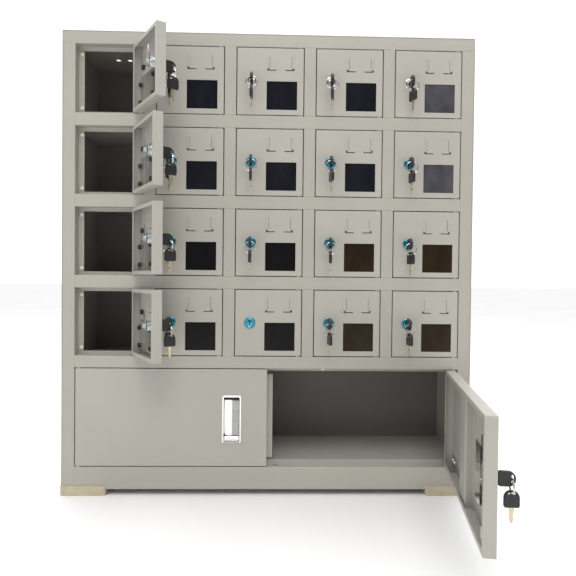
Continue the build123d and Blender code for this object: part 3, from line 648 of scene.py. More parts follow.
@dataclass
class FaceFrame:
    """Rails and uprights of bent sheet, with their stops, welded into one frame."""

    cabinet: Cabinet
    bend: float = 1.1
    slot_x: float = 16.5
    slot_length: float = 12.0
    slot_front: float = 10.3
    slot_back: float = 16.7

    def rail(self, z0: float, z1: float, upper: float, lower: float, x0: float, x1: float) -> Shape:
        """Hat-section rail: lower stop, ledge, face, upper ledge, upper stop.

        Args:
            z0: the face's lower edge.
            z1: the face's upper edge.
            upper: the upper stop's height, 0 for none.
            lower: the lower stop's height, 0 for none.
            x0: the left end.
            x1: the right end.

        Returns:
            The rail in the row's frame.
        """
        front, back = self.cabinet.front, self.cabinet.front + self.cabinet.ledge
        line = [(back, z1 + upper)] if upper else []
        line += [(back, z1), (front, z1), (front, z0), (back, z0)]
        line += [(back, z0 - lower)] if lower else []
        return sheet(bent(line, self.bend), self.cabinet.steel, x0, x1).swapped((2, 0, 1))

    def upright(self, x0: float, x1: float, z0: float, z1: float) -> Shape:
        """Channel-section upright between x0 and x1, from z0 to z1."""
        front, back = self.cabinet.front, self.cabinet.front + self.cabinet.ledge
        line = [(x0, back), (x0, front), (x1, front), (x1, back)]
        return sheet(bent(line, self.bend), self.cabinet.steel, z0, z1).turned_out()

    def stops(self, x0: float, x1: float, bottom: float, height: float, trim: float) -> Shape:
        """Stop plate behind an upright's wall, between the rails' stops."""
        back = self.cabinet.front + self.cabinet.ledge
        return block((x0, back, bottom + trim), (x1, back + self.cabinet.steel, bottom + height - trim), 0.4)

    def sill(self) -> Shape:
        """Base rail with the bolt slot in its ledge, as three runs with a split ledge in the middle one."""
        c = self.cabinet
        left, right = c.lefts[0], -c.lefts[0]
        s0, s1 = self.slot_x - self.slot_length / 2, self.slot_x + self.slot_length / 2
        whole = [(c.front + c.ledge, c.base_top + c.sill_stop), (c.front + c.ledge, c.base_top),
                 (c.front, c.base_top), (c.front, c.feet), (c.front + c.ledge, c.feet)]
        runs = [sheet(bent(whole, self.bend), c.steel, *ends) for ends in ((left, s0), (s1, right))]
        nose = [(c.front + self.slot_front, c.base_top), *whole[2:]]
        tail = [*whole[:2], (c.front + self.slot_back, c.base_top)]
        runs += [sheet(bent(part, self.bend), c.steel, s0, s1) for part in (nose, tail)]
        return together([run.swapped((2, 0, 1)) for run in runs])

    def build(self) -> None:
        """Builds the frame as one piece."""
        c = self.cabinet
        left, right, half = c.lefts[0], -c.lefts[0], (c.pitch_x - c.opening) / 2
        parts = [self.sill(), self.rail(c.lower_top, c.first_row, c.stop, c.stop, left, right)]
        parts += [self.rail(b + c.opening, b + c.pitch_z, c.stop, c.stop, left, right) for b in c.bottoms[1:]]
        edge = c.width / 2 - c.steel
        parts.append(self.rail(c.height - c.stile, c.height - c.steel - 0.05, 0, c.stop, -edge, edge))
        for x0, x1 in ((-edge, left), (right, edge)):
            parts.append(self.upright(x0, x1, c.feet, c.height - c.stile))
        for x in c.lefts[1:]:
            parts += [self.upright(x - 2 * half, x, b, b + c.opening) for b in c.bottoms]
        for b in c.bottoms:
            for x in c.lefts:
                parts.append(self.stops(x - c.steel, x + c.strike, b, c.opening, c.stop))
                hinge = x + c.opening
                parts.append(self.stops(hinge - c.hinge_stop, hinge + c.steel, b, c.opening, c.stop))
        tall = c.lower_top - c.base_top
        parts.append(self.stops(left - c.steel, left + c.hinge_stop, c.base_top, tall, c.sill_stop))
        parts.append(self.stops(right - c.hinge_stop, right + c.steel, c.base_top, tall, c.sill_stop))
        make_piece("face_frame", together(parts), Placement(), [Finish.FRAME], "cabinet",
                   ("frame_rails", "frame_uprights"))


@dataclass
class CornerFeet:
    """Four moulded feet that hold the base's corners in an L of lips."""

    cabinet: Cabinet
    width: float = 88.0
    deep: float = 60.0
    lip: float = 19.0
    proud: float = 2.0
    corner: float = 4.0

    def build(self) -> None:
        """Builds the feet as one piece."""
        c = self.cabinet
        shapes = []
        for sx in (-1, 1):
            for sy in (-1, 1):
                outer_x, outer_y = sx * (c.width / 2 + self.proud), sy * (c.depth / 2 + self.proud)
                inner_x, inner_y = outer_x - sx * self.width, outer_y - sy * self.deep
                middle = ((outer_x + inner_x) / 2, (outer_y + inner_y) / 2)
                rounding = ((1.2, 0.0), (0.35, 0.35), (0.0, 1.2), (0.0, c.feet))
                sections = [(self.width / 2 - inset, self.deep / 2 - inset, z, self.corner - inset)
                            for inset, z in rounding]
                shapes.append(stacked(sections, *middle, 5))
                line = bent([(inner_x, outer_y), (outer_x, outer_y), (outer_x, inner_y)], self.corner, 5)
                for inset, z0, z1 in ((0.0, c.feet, self.lip - 0.5), (0.4, self.lip - 0.5, self.lip)):
                    moved = line - np.array([sx * inset, sy * inset])
                    wall = sheet(moved, -sx * sy * (self.proud - inset - 0.05), z0, z1)
                    shapes.append(wall.turned_out())
        make_piece("corner_boots", together(shapes), Placement(), [Finish.FOOT], "cabinet",
                   ("corner_feet",))


# ---------------------------------------------------------------- door leaves
@dataclass
class Pan:
    """Sheet pan of a door: skin with one cut-out, bent flanges, and an inward hem, all one closed surface."""

    length: float
    height: float
    depth: float
    cut_x: float
    cut_y: float
    cut_width: float
    cut_height: float
    side: int = -1
    hinge_in: float = 6.0
    face: float = 4.0
    skin: float = 1.2
    bend: float = 1.2
    hem: float = 7.0
    cut_radius: float = 0.8

    @property
    def middle(self) -> float:
        """The leaf's middle x, from its hinge axis."""
        return self.side * (self.length / 2 - self.hinge_in)

    def shape(self) -> Shape:
        """Returns the pan: outlines that run over the skin, round the flange and hem, and back inside.

        The bends inset the outline by bend (1 - sin a) at depth bend (1 - cos a).
        """
        rings: list[Array] = []

        def add(inset: float, z: float, radius: float) -> None:
            """Adds one outline of the pan at height z."""
            flat = outline(self.length / 2 - inset, self.height / 2 - inset, radius, self.middle, 0.0)
            rings.append(at_height(flat, z))

        def add_cut(z: float, grow: float) -> None:
            """Adds the cut-out's outline at height z."""
            flat = outline(self.cut_width / 2 + grow, self.cut_height / 2 + grow, self.cut_radius + grow,
                           self.cut_x, self.cut_y)
            rings.append(at_height(flat, z))

        back = self.face - self.depth
        add_cut(self.face, 0.25)
        add(self.bend, self.face, 0.2)
        for a in np.linspace(0, pi / 2, 5)[1:]:
            inset = self.bend * (1 - sin(a))
            add(inset, self.face - self.bend * (1 - cos(a)), self.bend - inset + 0.2)
        for a in np.linspace(pi / 2, 0, 5):
            inset = self.bend * (1 - sin(a))
            add(inset, back + self.bend * (1 - cos(a)), self.bend - inset + 0.2)
        add(self.hem, back, 0.3)
        add(self.hem, back + self.skin, 0.3)
        add(self.skin, back + self.skin, 0.2)
        add(self.skin, self.face - self.skin, 0.2)
        add_cut(self.face - self.skin, 0.0)
        add_cut(self.face - 0.25, 0.0)
        return loft(np.stack(rings), closed=True)


@dataclass
class Key:
    """Flat key: a moulded D head with a half-moon hole, and a tapering notched blade with a ball tip."""

    head_width: float = 21.5
    head_length: float = 24.0
    head_thick: float = 5.2
    hole_at: float = 18.6
    shank: float = 3.6
    blade_length: float = 21.0
    blade_width: float = 7.0
    blade_thick: float = 1.9
    steps: int = 48

    def head(self) -> Shape:
        """Head standing up z from its flat edge at z = 0, its width along y and its thickness along x.

        Seen from the hole, direction a meets the outside at the D's edge and the hole at a half-moon whose
        flat side has a small peak. The rim is rounded by insetting the outer edge towards both faces.

        Returns:
            The head, finish 0.
        """
        a = np.linspace(0, 2 * pi, self.steps, endpoint=False) + pi / self.steps
        half = self.head_width / 2
        direction = np.stack([np.cos(a), np.sin(a)], -1)
        start = np.array([0.0, self.hole_at])
        to_side = half / np.abs(direction[:, 0])
        to_flat_edge = np.where(direction[:, 1] < 0, -start[1] / direction[:, 1], np.inf)
        reach = np.minimum(to_side, to_flat_edge)
        centre = np.array([0.0, self.head_length - half])
        offset = start - centre
        b = direction @ offset
        arc = -b + np.sqrt(np.maximum(b**2 - (offset @ offset - half**2), 0))
        on_arc = start[1] + direction[:, 1] * arc >= centre[1]
        reach = np.where(on_arc, arc, reach)
        outer = start + direction * reach[:, None]
        across, up = 6.4 * np.cos(a), np.sin(a)
        lower = -1.3 * np.abs(up) ** 0.6 + 1.7 * np.exp(-((across / 1.7) ** 2))
        hole = start + np.stack([across, np.where(up > 0, 2.9 * up, lower)], -1)
        rings = []
        for inset, x in ((0.9, -0.5), (0.25, -0.36), (0.0, -0.18), (0.0, 0.18), (0.25, 0.36), (0.9, 0.5)):
            ring = start + (outer - start) * (1 - inset / reach[:, None])
            rings.append(np.column_stack([np.full(len(a), x * self.head_thick), ring]))
        for x in (0.5, -0.5):
            rings.append(np.column_stack([np.full(len(a), x * self.head_thick), hole]))
        return loft(np.stack(rings), closed=True)

    def blade(self) -> Shape:
        """Blade going down -z from the head: its half width tapers and is notched in waves, and ends in a ball.

        Returns:
            The blade, finish 1.
        """
        s = np.linspace(0, 1, 40)
        half = self.blade_width / 2 * (1 - 0.42 * s) * (1 - 0.16 * (0.5 + 0.5 * np.sin(s * 15.0)) * (s > 0.25))
        half = np.where(s > 0.86, 1.9 * np.sqrt(np.clip(1 - ((s - 0.93) / 0.075) ** 2, 0.02, 1)), half)
        z = 1.0 - s * (self.blade_length + 1.0)
        sections = [(self.blade_thick / 2, width, height, 0.5) for width, height in zip(half, z)]
        return stacked(sections, steps=2).finished(1)

    def shape(self) -> Shape:
        """Returns the head and blade, the head's flat edge at z = 0."""
        return together([self.head(), self.blade()])


@dataclass
class CamLock:
    """Cam lock: bezel, threaded barrel and nut on the door, and a turning plug with its cam and key."""

    x: float
    y: float
    face: float = 4.0
    bezel: float = 11.0
    barrel: float = 9.2
    plug: float = 6.5
    plug_proud: float = 1.5
    barrel_length: float = 21.5
    cam_length: float = 31.0
    cam_width: float = 15.0
    key: Key = field(default_factory=Key)
    ring_radius: float = 11.2
    ring_wire: float = 0.65

    def at(self, shape: Shape) -> Shape:
        """Returns a shape made about the lock's axis, moved to the lock."""
        return shape.shifted(self.x, self.y, 0.0)

    def fixed(self) -> Shape:
        """Bezel (finish 0), barrel with a thread of fine waves, and hexagon nut (finish 1).

        Returns:
            What stays still on the door.
        """
        f, r, bore = self.face, self.bezel, self.plug + 0.15
        bezel = turned_ring([
            (bore, f + 1.0), (bore + 0.05, f + 1.7), (7.4, f + 2.3), (8.6, f + 2.6), (9.8, f + 2.3),
            (10.6, f + 1.5), (r, f + 0.5), (r, f), (self.barrel, f), (self.barrel, f - 1.0), (bore, f - 1.0),
        ])
        turns = np.linspace(0, 1, 57)
        wave = self.barrel - 0.22 - 0.22 * np.cos(turns * 2 * pi * 14)
        thread = [(float(w), float(f - 1.0 - t * (self.barrel_length - 2.0))) for w, t in zip(wave, turns)]
        tube = turned_ring(thread + [(bore, thread[-1][1]), (bore, f - 1.0)]).finished(1)
        hexagon = np.linspace(0, 2 * pi, 6, endpoint=False)
        corner = np.stack([np.cos(hexagon), np.sin(hexagon)], -1)
        rings = [at_height(corner * size, z) for size, z in
                 ((12.2, f - 1.25), (13.4, f - 1.9), (13.4, f - 4.5), (12.2, f - 5.2))]
        return self.at(together([bezel, tube, loft(np.stack(rings)).finished(1)]))

    def turning(self, with_key: bool) -> Shape:
        """Plug (finish 0), cam and screw (finish 1), a black block in the keyway as painted shade (finish 2),
        key head (3) and blade (4).

        Args:
            with_key: the key stands in the lock.

        Returns:
            What turns with the plug, the key's plane upright and the cam up.
        """
        f, back = self.face, self.face - self.barrel_length - 0.3
        plug = turned_profile([(0.01, f + 1.5), (5.4, f + 1.6), (self.plug, f + 1.1), (self.plug, back)])
        half = self.cam_width / 2
        start, end = -half, self.cam_length - half
        cam_rings = []
        for inset, z in ((0.3, back - 2.0), (0.0, back - 1.7), (0.0, back - 0.3), (0.3, back)):
            cam_rings.append(at_height(self.cam_outline(start + inset, end + half - inset, inset), z))
        cam = loft(np.stack(cam_rings)).finished(1)
        dome = [(0.01, back - 5.6), (3.6, back - 5.5), (4.4, back - 4.8), (4.5, back - 2.0)]
        screw = turned_profile(dome, 24)
        # Black block on the plug's face: painted shade in the keyway.
        slot = block((-1.1, -4.2, f + 0.9), (1.1, 4.2, f + 1.68), 0.25).finished(2)
        shapes = [plug, cam, screw.finished(1), slot]
        if with_key:
            shapes.append(self.inserted(3))
        return self.at(together(shapes))

    def inserted(self, first: int = 0) -> Shape:
        """Key standing in the plug about the lock's axis: its head, and the shank that shows.

        Args:
            first: the head's finish number; the shank has the next one.

        Returns:
            The key, without the blade inside the plug.
        """
        key, f = self.key.shape(), self.face
        is_head = key.finish == 0
        head = Shape(key.points, key.faces[is_head], key.finish[is_head] + first)
        shank = block((-0.95, -3.3, f + 1.0), (0.95, 3.3, f + 6.0), 0.4)
        return together([head.shifted(0, 0, f + self.plug_proud + self.key.shank), shank.finished(first + 1)])

    def cam_outline(self, low: float, high: float, inset: float) -> Array:
        """Cam seen along the lock's axis: full width at the hub, tapering to a narrower rounded tip."""
        t = np.linspace(0, 2 * pi, 40, endpoint=False)
        middle, reach = (low + high) / 2, (high - low) / 2
        y = middle + reach * np.sin(t)
        taper = 1 - 0.34 * (y - low) / (high - low)
        x = (self.cam_width / 2 - inset) * taper * np.sign(np.cos(t)) * np.abs(np.cos(t)) ** 0.55
        return np.stack([x, y], -1)

    def hanging(self, sway: float) -> Shape:
        """Split ring through the key's hole (finish 0), and a spare key hanging from it (finishes 1 and 2).

        Args:
            sway: how far the spare key is turned about the upright, in radians.

        Returns:
            The ring and spare key.
        """
        hole_z = self.face + self.plug_proud + self.key.shank + self.key.hole_at
        centre_y = 0.7 - self.ring_radius
        turn = torus(self.ring_radius, self.ring_wire)
        coil = [turn.shifted(0, centre_y, hole_z + dz) for dz in (-0.55, 0.6)]
        spare = self.key.shape()
        flat_edge = centre_y - self.ring_radius + 0.9 - self.key.hole_at
        x, y, z = spare.points.T
        hung = Shape(np.column_stack([x, z + flat_edge, hole_z - y]), spare.faces, spare.finish + 1)
        hung = hung.turned(sway, 1, (0.0, flat_edge, hole_z))
        return self.at(together([*coil, hung]))


def turned_ring(profile: list[tuple[float, float]], around: int = 36) -> Shape:
    """Ring of revolution about z: a closed (radius, height) section, its last point joined to its first."""
    angle = np.linspace(0, 2 * pi, around, endpoint=False)[:, None]
    radius, height = np.array(profile, float).T
    heights = np.broadcast_to(height, (around, len(height)))
    return loft(np.stack([radius * np.cos(angle), radius * np.sin(angle), heights], -1), closed=True)


# ---------------------------------------------------------------- small doors
@dataclass
class SmallDoor:
    """One window door: pan, label holder, pane and its fixings, lock, ring and spare key."""

    cabinet: Cabinet
    row: int
    column: int
    gap: float = 1.5
    depth: float = 18.1
    window_width: float = 59.3
    window_height: float = 55.1
    window_left: float = 58.7
    window_bottom: float = 11.5
    label_left: float = 59.5
    label_right: float = 112.7
    label_bottom: float = 87.0
    label_top: float = 116.0
    label_leg: float = 18.5
    lock_in: float = 30.0

    @property
    def code(self) -> str:
        """The door's place, such as r1c1."""
        return f"r{self.row + 1}c{self.column + 1}"

    def local(self, across: float, up: float) -> tuple[float, float]:
        """Turns a place in the opening, from its left and lower edges, into the leaf's x and y."""
        hinge = self.cabinet.opening - self.gap - 6.0
        return across - hinge, up - self.cabinet.opening / 2

    @property
    def window_middle(self) -> tuple[float, float]:
        """The window's middle in the leaf's x and y."""
        return self.local(self.window_left + self.window_width / 2, self.window_bottom + self.window_height / 2)

    @property
    def keyless(self) -> bool:
        """One lock, in the middle of the lowest row, holds no key."""
        return self.row == 3 and self.column == 2

    @property
    def pane_finish(self) -> Finish:
        """The pane's finish: clear in the open doors; in the closed ones near-black painted shade of the
        compartment behind, blue-black, with grey and brown ones at the right.
        """
        if self.column == 0:
            return Finish.CLEAR_PANE
        if self.column == 4 and self.row < 2:
            return Finish.GREY_PANE
        if self.row < 2:
            return Finish.BLUE_PANE
        return Finish.BROWN_PANE if self.column > 2 else Finish.BLACK_PANE

    def label_holder(self) -> list[Shape]:
        """Two pressed L ribs, each with a black block under its foot and beside its upright, painted shade in
        its slots.

        Returns:
            Ribs in finish 0, and the black blocks that paint the slots' shade in finish 1.
        """
        shapes = []
        for edge, way in ((self.label_left, 1), (self.label_right, -1)):
            x, low = self.local(edge, self.label_bottom)
            high = self.local(edge, self.label_top)[1]
            for far_x, far_y in ((x + way * 5.0, high), (x + way * self.label_leg, low + 4.8)):
                xs, ys = sorted((x, far_x)), sorted((low + 1.4, far_y))
                shapes.append(block((xs[0], ys[0], 3.4), (xs[1], ys[1], 4.0 + 0.75), 0.74, 3))
            # Black blocks through the skin: painted shade inside the slots under the foot and beside the
            # upright.
            xs = sorted((x + way * 0.6, x + way * (self.label_leg - 0.6)))
            shapes.append(block((xs[0], low - 0.1, 2.7), (xs[1], low + 1.35, 4.07), 0.05).finished(1))
            xs = sorted((x + way * 5.0, x + way * 5.5))
            shapes.append(block((xs[0], low + 6.0, 2.7), (xs[1], high - 2.0, 4.06), 0.05).finished(1))
        return shapes

    def fixings(self) -> Shape:
        """Turned knobs and a washer that clamp the pane from inside."""
        cx, cy = self.window_middle
        knob = [(0.01, -5.3), (2.4, -5.2), (3.8, -4.6), (4.4, -3.4), (4.2, -1.8), (4.4, 0.4), (0.01, 0.4)]
        spots = [(1, 16), (1, -18), (-1, 17), (-1, -18)]
        shapes = []
        for side, dy in spots:
            x = cx + side * (self.window_width / 2 + 4.6)
            shapes.append(turned_profile(knob, 24).shifted(x, cy + dy, 0.4))
        washer = [(2.0, -2.6), (4.4, -2.5), (5.0, -1.6), (5.0, 2.8), (2.0, 2.8)]
        stud = [(0.01, -2.2), (1.9, -2.0), (1.9, 2.8), (0.01, 2.8)]
        x, y = self.local(self.label_right, self.label_bottom - 1)
        shapes.append(turned_ring(washer, 24).shifted(x, y, 0.0))
        shapes.append(turned_profile(stud, 16).finished(1).shifted(x, y, 0.0))
        return together(shapes)

    def build(self) -> None:
        """Builds the door's pieces on its leaf, and the lock's turning pieces on its plug."""
        hinge = f"door_{self.code}_hinge"
        turn = -JOINTS[hinge]["range_deg"][0]
        place = leaf_placement(hinge, turn)
        leaf, plug = f"leaf_{self.code}", f"plug_{self.code}"
        size = self.cabinet.opening - 2 * self.gap
        wx, wy = self.window_middle
        pan = Pan(size, size, self.depth, wx, wy, self.window_width, self.window_height)
        make_piece(f"{self.code}_leaf", together([pan.shape(), *self.label_holder()]), place,
                   [Finish.DOOR, Finish.SHADOW], leaf, (f"door_{self.code}",))
        half_x, half_y = self.window_width / 2 + 6, self.window_height / 2 + 3
        pane = block((wx - half_x, wy - half_y, 0.3), (wx + half_x, wy + half_y, 2.75), 0.3)
        make_piece(f"{self.code}_pane", pane, place, [self.pane_finish], leaf)
        make_piece(f"{self.code}_fixings", self.fixings(), place, [Finish.KNOB, Finish.ZINC], leaf)
        tint = Finish.SILVER_LOCK if self.row == 0 else Finish.TEAL_LOCK
        lock = CamLock(*self.local(self.lock_in, self.cabinet.opening / 2))
        make_piece(f"{self.code}_lock_body", lock.fixed(), place, [tint, Finish.ZINC], leaf)
        metals = [tint, Finish.ZINC, Finish.SHADOW, Finish.KEY_HEAD, Finish.BLADE]
        make_piece(f"{self.code}_lock_plug", lock.turning(not self.keyless), place, metals, plug,
                   (f"lock_{self.code}",))
        if not self.keyless:
            sway = 0.16 * sin(3.1 * self.row + 1.7 * self.column) + (0.25 if self.column == 4 else 0.0)
            make_piece(f"{self.code}_spare_key", lock.hanging(sway), place,
                       [Finish.RING, Finish.KEY_HEAD, Finish.BLADE], plug)


# ---------------------------------------------------------------- wings of the wide compartment
@dataclass
class Handle:
    """Recessed chrome pull: a raised rim, and a cup whose floor steps up from a finger well."""

    x: float
    y: float
    width: float = 38.0
    height: float = 93.0
    face: float = 4.0
    rim: float = 3.4
    cup: float = 12.6

    def shape(self) -> Shape:
        """Returns the pull: outlines from the cup's back, round the rim, down the well and over its floor."""
        f, hx, hy = self.face, self.width / 2, self.height / 2
        sections = [
            (hx - 3.0, hy - 3.0, f - self.cup, 2.5), (hx - 2.8, hy - 2.8, f, 2.5), (hx, hy, f, 3.5),
            (hx, hy, f + 0.9, 3.5), (hx - 0.5, hy - 0.5, f + 1.5, 3.2), (hx - 1.2, hy - 1.2, f + 1.6, 2.8),
            (hx - self.rim, hy - self.rim, f + 1.0, 2.2), (hx - self.rim - 0.5, hy - self.rim - 0.5, f, 2.0),
            (hx - self.rim - 0.7, hy - self.rim - 0.7, f - self.cup + 2.4, 2.0),
            (hx - self.rim - 2.2, hy - self.rim - 2.2, f - self.cup + 1.2, 1.6),
        ]
        return stacked(sections, self.x, self.y, 4)

    def tongue(self, side: int) -> Shape:
        """Grip plate on the half of the well away from the free edge, folded forward from the well's wall.

        Args:
            side: 1 puts it on the +x half, -1 on the other.

        Returns:
            The plate, finish 1.
        """
        f, hy = self.face, self.height / 2 - self.rim - 1.2
        edge = self.x + side * (self.width / 2 - self.rim - 1.2)
        line = [(edge, f - self.cup + 1.4), (edge, f - 2.4), (self.x + side * 0.6, f - 3.4),
                (self.x + side * 0.6, f - 6.0)]
        plate = sheet(bent(line, 0.9), side * 1.1, self.y - hy + 9.4, self.y + hy - 5.4)
        return plate.swapped((0, 2, 1)).finished(1)

    def lip(self) -> Shape:
        """Bright wedge across the lower end, and across the upper one a black bar, painted shade of the throat
        under the hood.

        Returns:
            The lower wedge in finish 0, the upper bar's painted shade in finish 2.
        """
        f, hx, hy = self.face, self.width / 2 - self.rim - 0.6, self.height / 2 - self.rim - 0.8
        low = block((self.x - hx, self.y - hy, f - 6.5), (self.x + hx, self.y - hy + 8.6, f + 0.2), 1.8, 3)
        # The upper bar is all black: painted shade of the throat under the hood.
        top = block((self.x - hx, self.y + hy - 5.0, f - 8.5), (self.x + hx, self.y + hy, f - 2.4), 1.4, 3)
        return together([low, top.finished(2)])


@dataclass
class Wing:
    """One door of the wide compartment."""

    cabinet: Cabinet
    side: int
    gap: float = 1.5
    depth: float = 18.1
    handle_in: float = 50.0
    stiffener: float = 46.0

    @property
    def length(self) -> float:
        """The leaf's length."""
        return (self.cabinet.width - 2 * self.cabinet.stile - 3 * self.gap) / 2

    @property
    def height(self) -> float:
        """The leaf's height."""
        return self.cabinet.lower_top - self.cabinet.base_top - 2 * self.gap

    @property
    def free(self) -> float:
        """The free edge's x, from the hinge axis."""
        return self.side * (self.length - 6.0)

    @property
    def middle_z(self) -> float:
        """The leaf's middle height above the floor."""
        return (self.cabinet.lower_top + self.cabinet.base_top) / 2

    def handle(self) -> Handle:
        """The wing's pull."""
        return Handle(self.free - self.side * (self.handle_in + 19.0), 150.0 - self.middle_z)

    def leaf(self) -> list[Shape]:
        """Pan, hat stiffener and hinge-corner plates.

        Returns:
            Painted shapes in finish 0 and zinc ones in finish 1.
        """
        pull = self.handle()
        pan = Pan(self.length, self.height, self.depth, pull.x, pull.y, pull.width - 5, pull.height - 5,
                  self.side, hem=8.0)
        x, half, tall = pan.middle, self.stiffener / 2, self.height / 2 - 1.6
        line = [(x - half - 12, 2.8), (x - half, 2.8), (x - half, -9.2), (x + half, -9.2), (x + half, 2.8),
                (x + half + 12, 2.8)]
        hat = sheet(bent(line, 1.4), -1.2, -tall, tall).swapped((0, 2, 1))
        shapes = [pan.shape(), hat]
        for s in (-1, 1):
            xs, y = sorted((self.side * 2.0, self.side * 42.0)), s * (self.height / 2 - 14)
            rib = y + s * 10
            shapes.append(block((xs[0], y - 12, 0.6), (xs[1], y + 12, 2.75), 0.6).finished(1))
            shapes.append(block((xs[0], rib - 1.2, -8), (xs[1] - 10, rib + 1.2, 2.7), 0.5).finished(1))
            screw = turned_profile([(0.01, -2.0), (2.6, -1.8), (3.4, -0.6), (3.5, 0.8), (0.01, 0.8)], 20)
            for across in (14.0, 32.0):
                shapes.append(screw.finished(1).shifted(self.side * across, y - s * 3, 0.0))
        return shapes

    def write_leaf(self, side_name: str, place: Placement, extras: list[Shape]) -> None:
        """Writes the leaf and its pull as two pieces.

        Args:
            side_name: left or right, as the CAD nodes and bodies have it.
            place: where the wing lies.
            extras: what is fixed to this leaf alone.
        """
        body, pull = f"{side_name}_wing", self.handle()
        make_piece(f"{body}_leaf", together([*self.leaf(), *extras]), place, [Finish.DOOR, Finish.ZINC], body,
                   (f"{side_name}_door",))
        make_piece(f"{body}_pull", together([pull.shape(), pull.tongue(self.side), pull.lip()]), place,
                   [Finish.CHROME, Finish.GRIP, Finish.SHADOW], body, (f"{side_name}_handle",))


@dataclass
class LeftWing(Wing):
    """Left door, with the lap strip that the right door closes against."""

    lap_over: float = 11.0
    lap_width: float = 23.0

    def build(self) -> None:
        """Builds the leaf with its lap strip, and the pull."""
        place = leaf_placement("left_door_hinge", 0.0)
        back = 3.75 - self.depth
        x1 = self.free + self.lap_over
        line = [(x1 - self.lap_width, back), (x1, back), (x1, back - 5.0)]
        tall = (self.height - 24) / 2
        strip = sheet(bent(line, 1.2), -1.2, -tall, tall).swapped((0, 2, 1))
        self.write_leaf("left", place, [strip])


@dataclass
class RightWing(Wing):
    """Right door, with its lock, bolt guides, and keys."""

    lock_in: float = 24.5
    lock_z: float = 158.0
    guide_z: float = 208.0
    upper_bolt: float = 19.25
    lower_bolt: float = 15.75
    sway: float = 0.1

    def build(self) -> None:
        """Builds the leaf with its bolt guides, the pull, the lock body and the keys."""
        turn = -JOINTS["right_door_hinge"]["range_deg"][0]
        place = leaf_placement("right_door_hinge", turn)
        guides = []
        upper_y, lower_y = self.guide_z - self.middle_z, 26 - self.height / 2
        for across, y in ((self.upper_bolt, upper_y), (self.lower_bolt, lower_y)):
            x = self.free + across
            guides.append(block((x - 8, y - 8, -12.6), (x + 8, y + 8, -11.3), 0.5).finished(1))
            for wall in (x - 6.7, x + 6.7):
                guides.append(block((wall - 0.9, y - 8, -12.4), (wall + 0.9, y + 8, 2.75), 0.4).finished(1))
        self.write_leaf("right", place, guides)
        lock = CamLock(self.free + self.lock_in, self.lock_z - self.middle_z, barrel_length=8.6)
        make_piece("right_wing_lock_body", lock.fixed(), place, [Finish.SILVER_LOCK, Finish.ZINC], "right_wing")
        plug = "right_lock_plug"
        make_piece("right_wing_key", lock.at(lock.inserted()), place, [Finish.KEY_HEAD, Finish.BLADE], plug)
        make_piece("right_wing_spare_key", lock.hanging(self.sway), place,
                   [Finish.RING, Finish.KEY_HEAD, Finish.BLADE], plug)


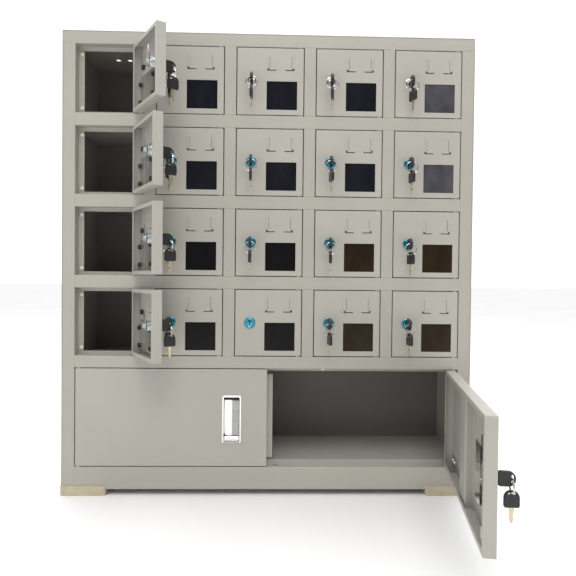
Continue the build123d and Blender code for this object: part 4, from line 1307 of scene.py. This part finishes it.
# ---------------------------------------------------------------- studio
@dataclass
class Studio:
    """Camera, pale floor, and soft lights."""

    cabinet: Cabinet
    camera_x: float = 10.3
    camera_ahead: float = 1067.4
    camera_z: float = 427.1
    yaw: float = -0.0261
    pitch: float = -0.0175
    roll: float = -0.0104
    lens: float = 34.13
    floor_half: float = 30.0
    front_fill: float = 0.36
    back_fill: float = 1.3
    top_fill: float = 1.15

    def camera(self) -> None:
        """Places the camera: forward is the turned +y, up the turned +z."""
        data = bpy.data.cameras.new("camera")
        data.lens, data.sensor_width = self.lens, 36.0
        camera = bpy.data.objects.new("camera", data)
        turn = Matrix.Rotation(self.yaw, 3, "Z") @ Matrix.Rotation(self.pitch, 3, "X")
        turn = turn @ Matrix.Rotation(self.roll, 3, "Y")
        axes = Matrix((turn.col[0], turn.col[2], -turn.col[1])).transposed()
        camera.matrix_world = axes.to_4x4()
        camera_y = self.cabinet.front - self.camera_ahead
        camera.location = (self.camera_x * MM, camera_y * MM, self.camera_z * MM)
        bpy.context.scene.collection.objects.link(camera)
        bpy.context.scene.camera = camera

    def floor(self) -> None:
        """Pale floor, faintly uneven in tone."""
        g = Graph("floor_pale")
        g.wire(g.tint(g.ramp(g.noise(1.5), 0.0, 1.0), (0.86, 0.86, 0.86), (0.9, 0.9, 0.9)), "Base Color")
        g.set(Roughness=0.7)
        h = self.floor_half
        mesh = bpy.data.meshes.new("floor")
        mesh.from_pydata([(-h, -h, 0), (h, -h, 0), (h, h, 0), (-h, h, 0)], [], [(0, 1, 2, 3)])
        mesh.materials.append(g.material)
        floor = bpy.data.objects.new("floor", mesh)
        bpy.context.scene.collection.objects.link(floor)
        floor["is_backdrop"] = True

    def lamp(self, name: str, place: tuple, aim: tuple, size: float, power: float, tone: tuple) -> None:
        """Adds one square soft light at place, facing aim."""
        data = bpy.data.lights.new(name, "AREA")
        data.shape, data.size, data.energy, data.color = "SQUARE", size, power, tone
        lamp = bpy.data.objects.new(name, data)
        away = np.array(place) - np.array(aim)
        z = away / np.linalg.norm(away)
        x = np.cross((0.0, 0.0, 1.0), z)
        x /= np.linalg.norm(x)
        lamp.matrix_world = Matrix(np.column_stack([x, np.cross(z, x), z]).tolist()).to_4x4()
        lamp.location = place
        bpy.context.scene.collection.objects.link(lamp)

    def lights(self) -> None:
        """World fill and three soft lamps, the main one high in front."""
        world = bpy.data.worlds.new("studio")
        world.use_nodes = True
        nodes, links = world.node_tree.nodes, world.node_tree.links
        direction = nodes.new("ShaderNodeSeparateXYZ")
        links.new(nodes.new("ShaderNodeTexCoord").outputs["Generated"], direction.inputs[0])
        ahead = nodes.new("ShaderNodeMapRange")
        links.new(direction.outputs["Y"], ahead.inputs["Value"])
        above = nodes.new("ShaderNodeMapRange")
        links.new(direction.outputs["Z"], above.inputs["Value"])
        for node, low, high, dim, bright in (
            (ahead, -0.15, 0.35, self.front_fill, self.back_fill), (above, 0.35, 0.75, 0.0, self.top_fill),
        ):
            node.inputs["From Min"].default_value, node.inputs["From Max"].default_value = low, high
            node.inputs["To Min"].default_value, node.inputs["To Max"].default_value = dim, bright
        brighter = nodes.new("ShaderNodeMath")
        brighter.operation = "MAXIMUM"
        links.new(ahead.outputs["Result"], brighter.inputs[0])
        links.new(above.outputs["Result"], brighter.inputs[1])
        links.new(brighter.outputs[0], nodes["Background"].inputs["Strength"])
        nodes["Background"].inputs["Color"].default_value = (1.0, 1.0, 1.0, 1.0)
        bpy.context.scene.world = world
        bpy.context.scene.view_settings.view_transform = "Standard"
        self.lamp("high_front", (0.1, -2.3, 3.0), (0.0, 0.0, 0.75), 1.6, 36.0, (1.0, 0.985, 0.95))
        self.lamp("low_front_left", (-1.5, -1.9, 0.9), (0.0, 0.0, 0.4), 1.0, 3.0, (0.96, 0.98, 1.0))
        self.lamp("overhead", (0.0, 0.6, 3.0), (0.0, 0.0, 0.0), 3.0, 60.0, (1.0, 1.0, 1.0))

    def build(self) -> None:
        """Builds the studio."""
        self.camera()
        self.floor()
        self.lights()


def main() -> None:
    """Builds the kiosk and the studio, in order."""
    logging.basicConfig(level=logging.INFO)
    cabinet = Cabinet()
    Studio(cabinet).build()
    cabinet.dress_casing()
    FaceFrame(cabinet).build()
    CornerFeet(cabinet).build()
    for row in range(cabinet.rows):
        for column in range(cabinet.columns):
            SmallDoor(cabinet, row, column).build()
    LeftWing(cabinet, 1).build()
    RightWing(cabinet, -1).build()
    box = [[list(corner) for corner in pair] for pair in (CAD_BOX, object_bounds())]
    LOG.info("CAD box %s, visual box %s", *box)


if __name__ == "__main__":
    main()
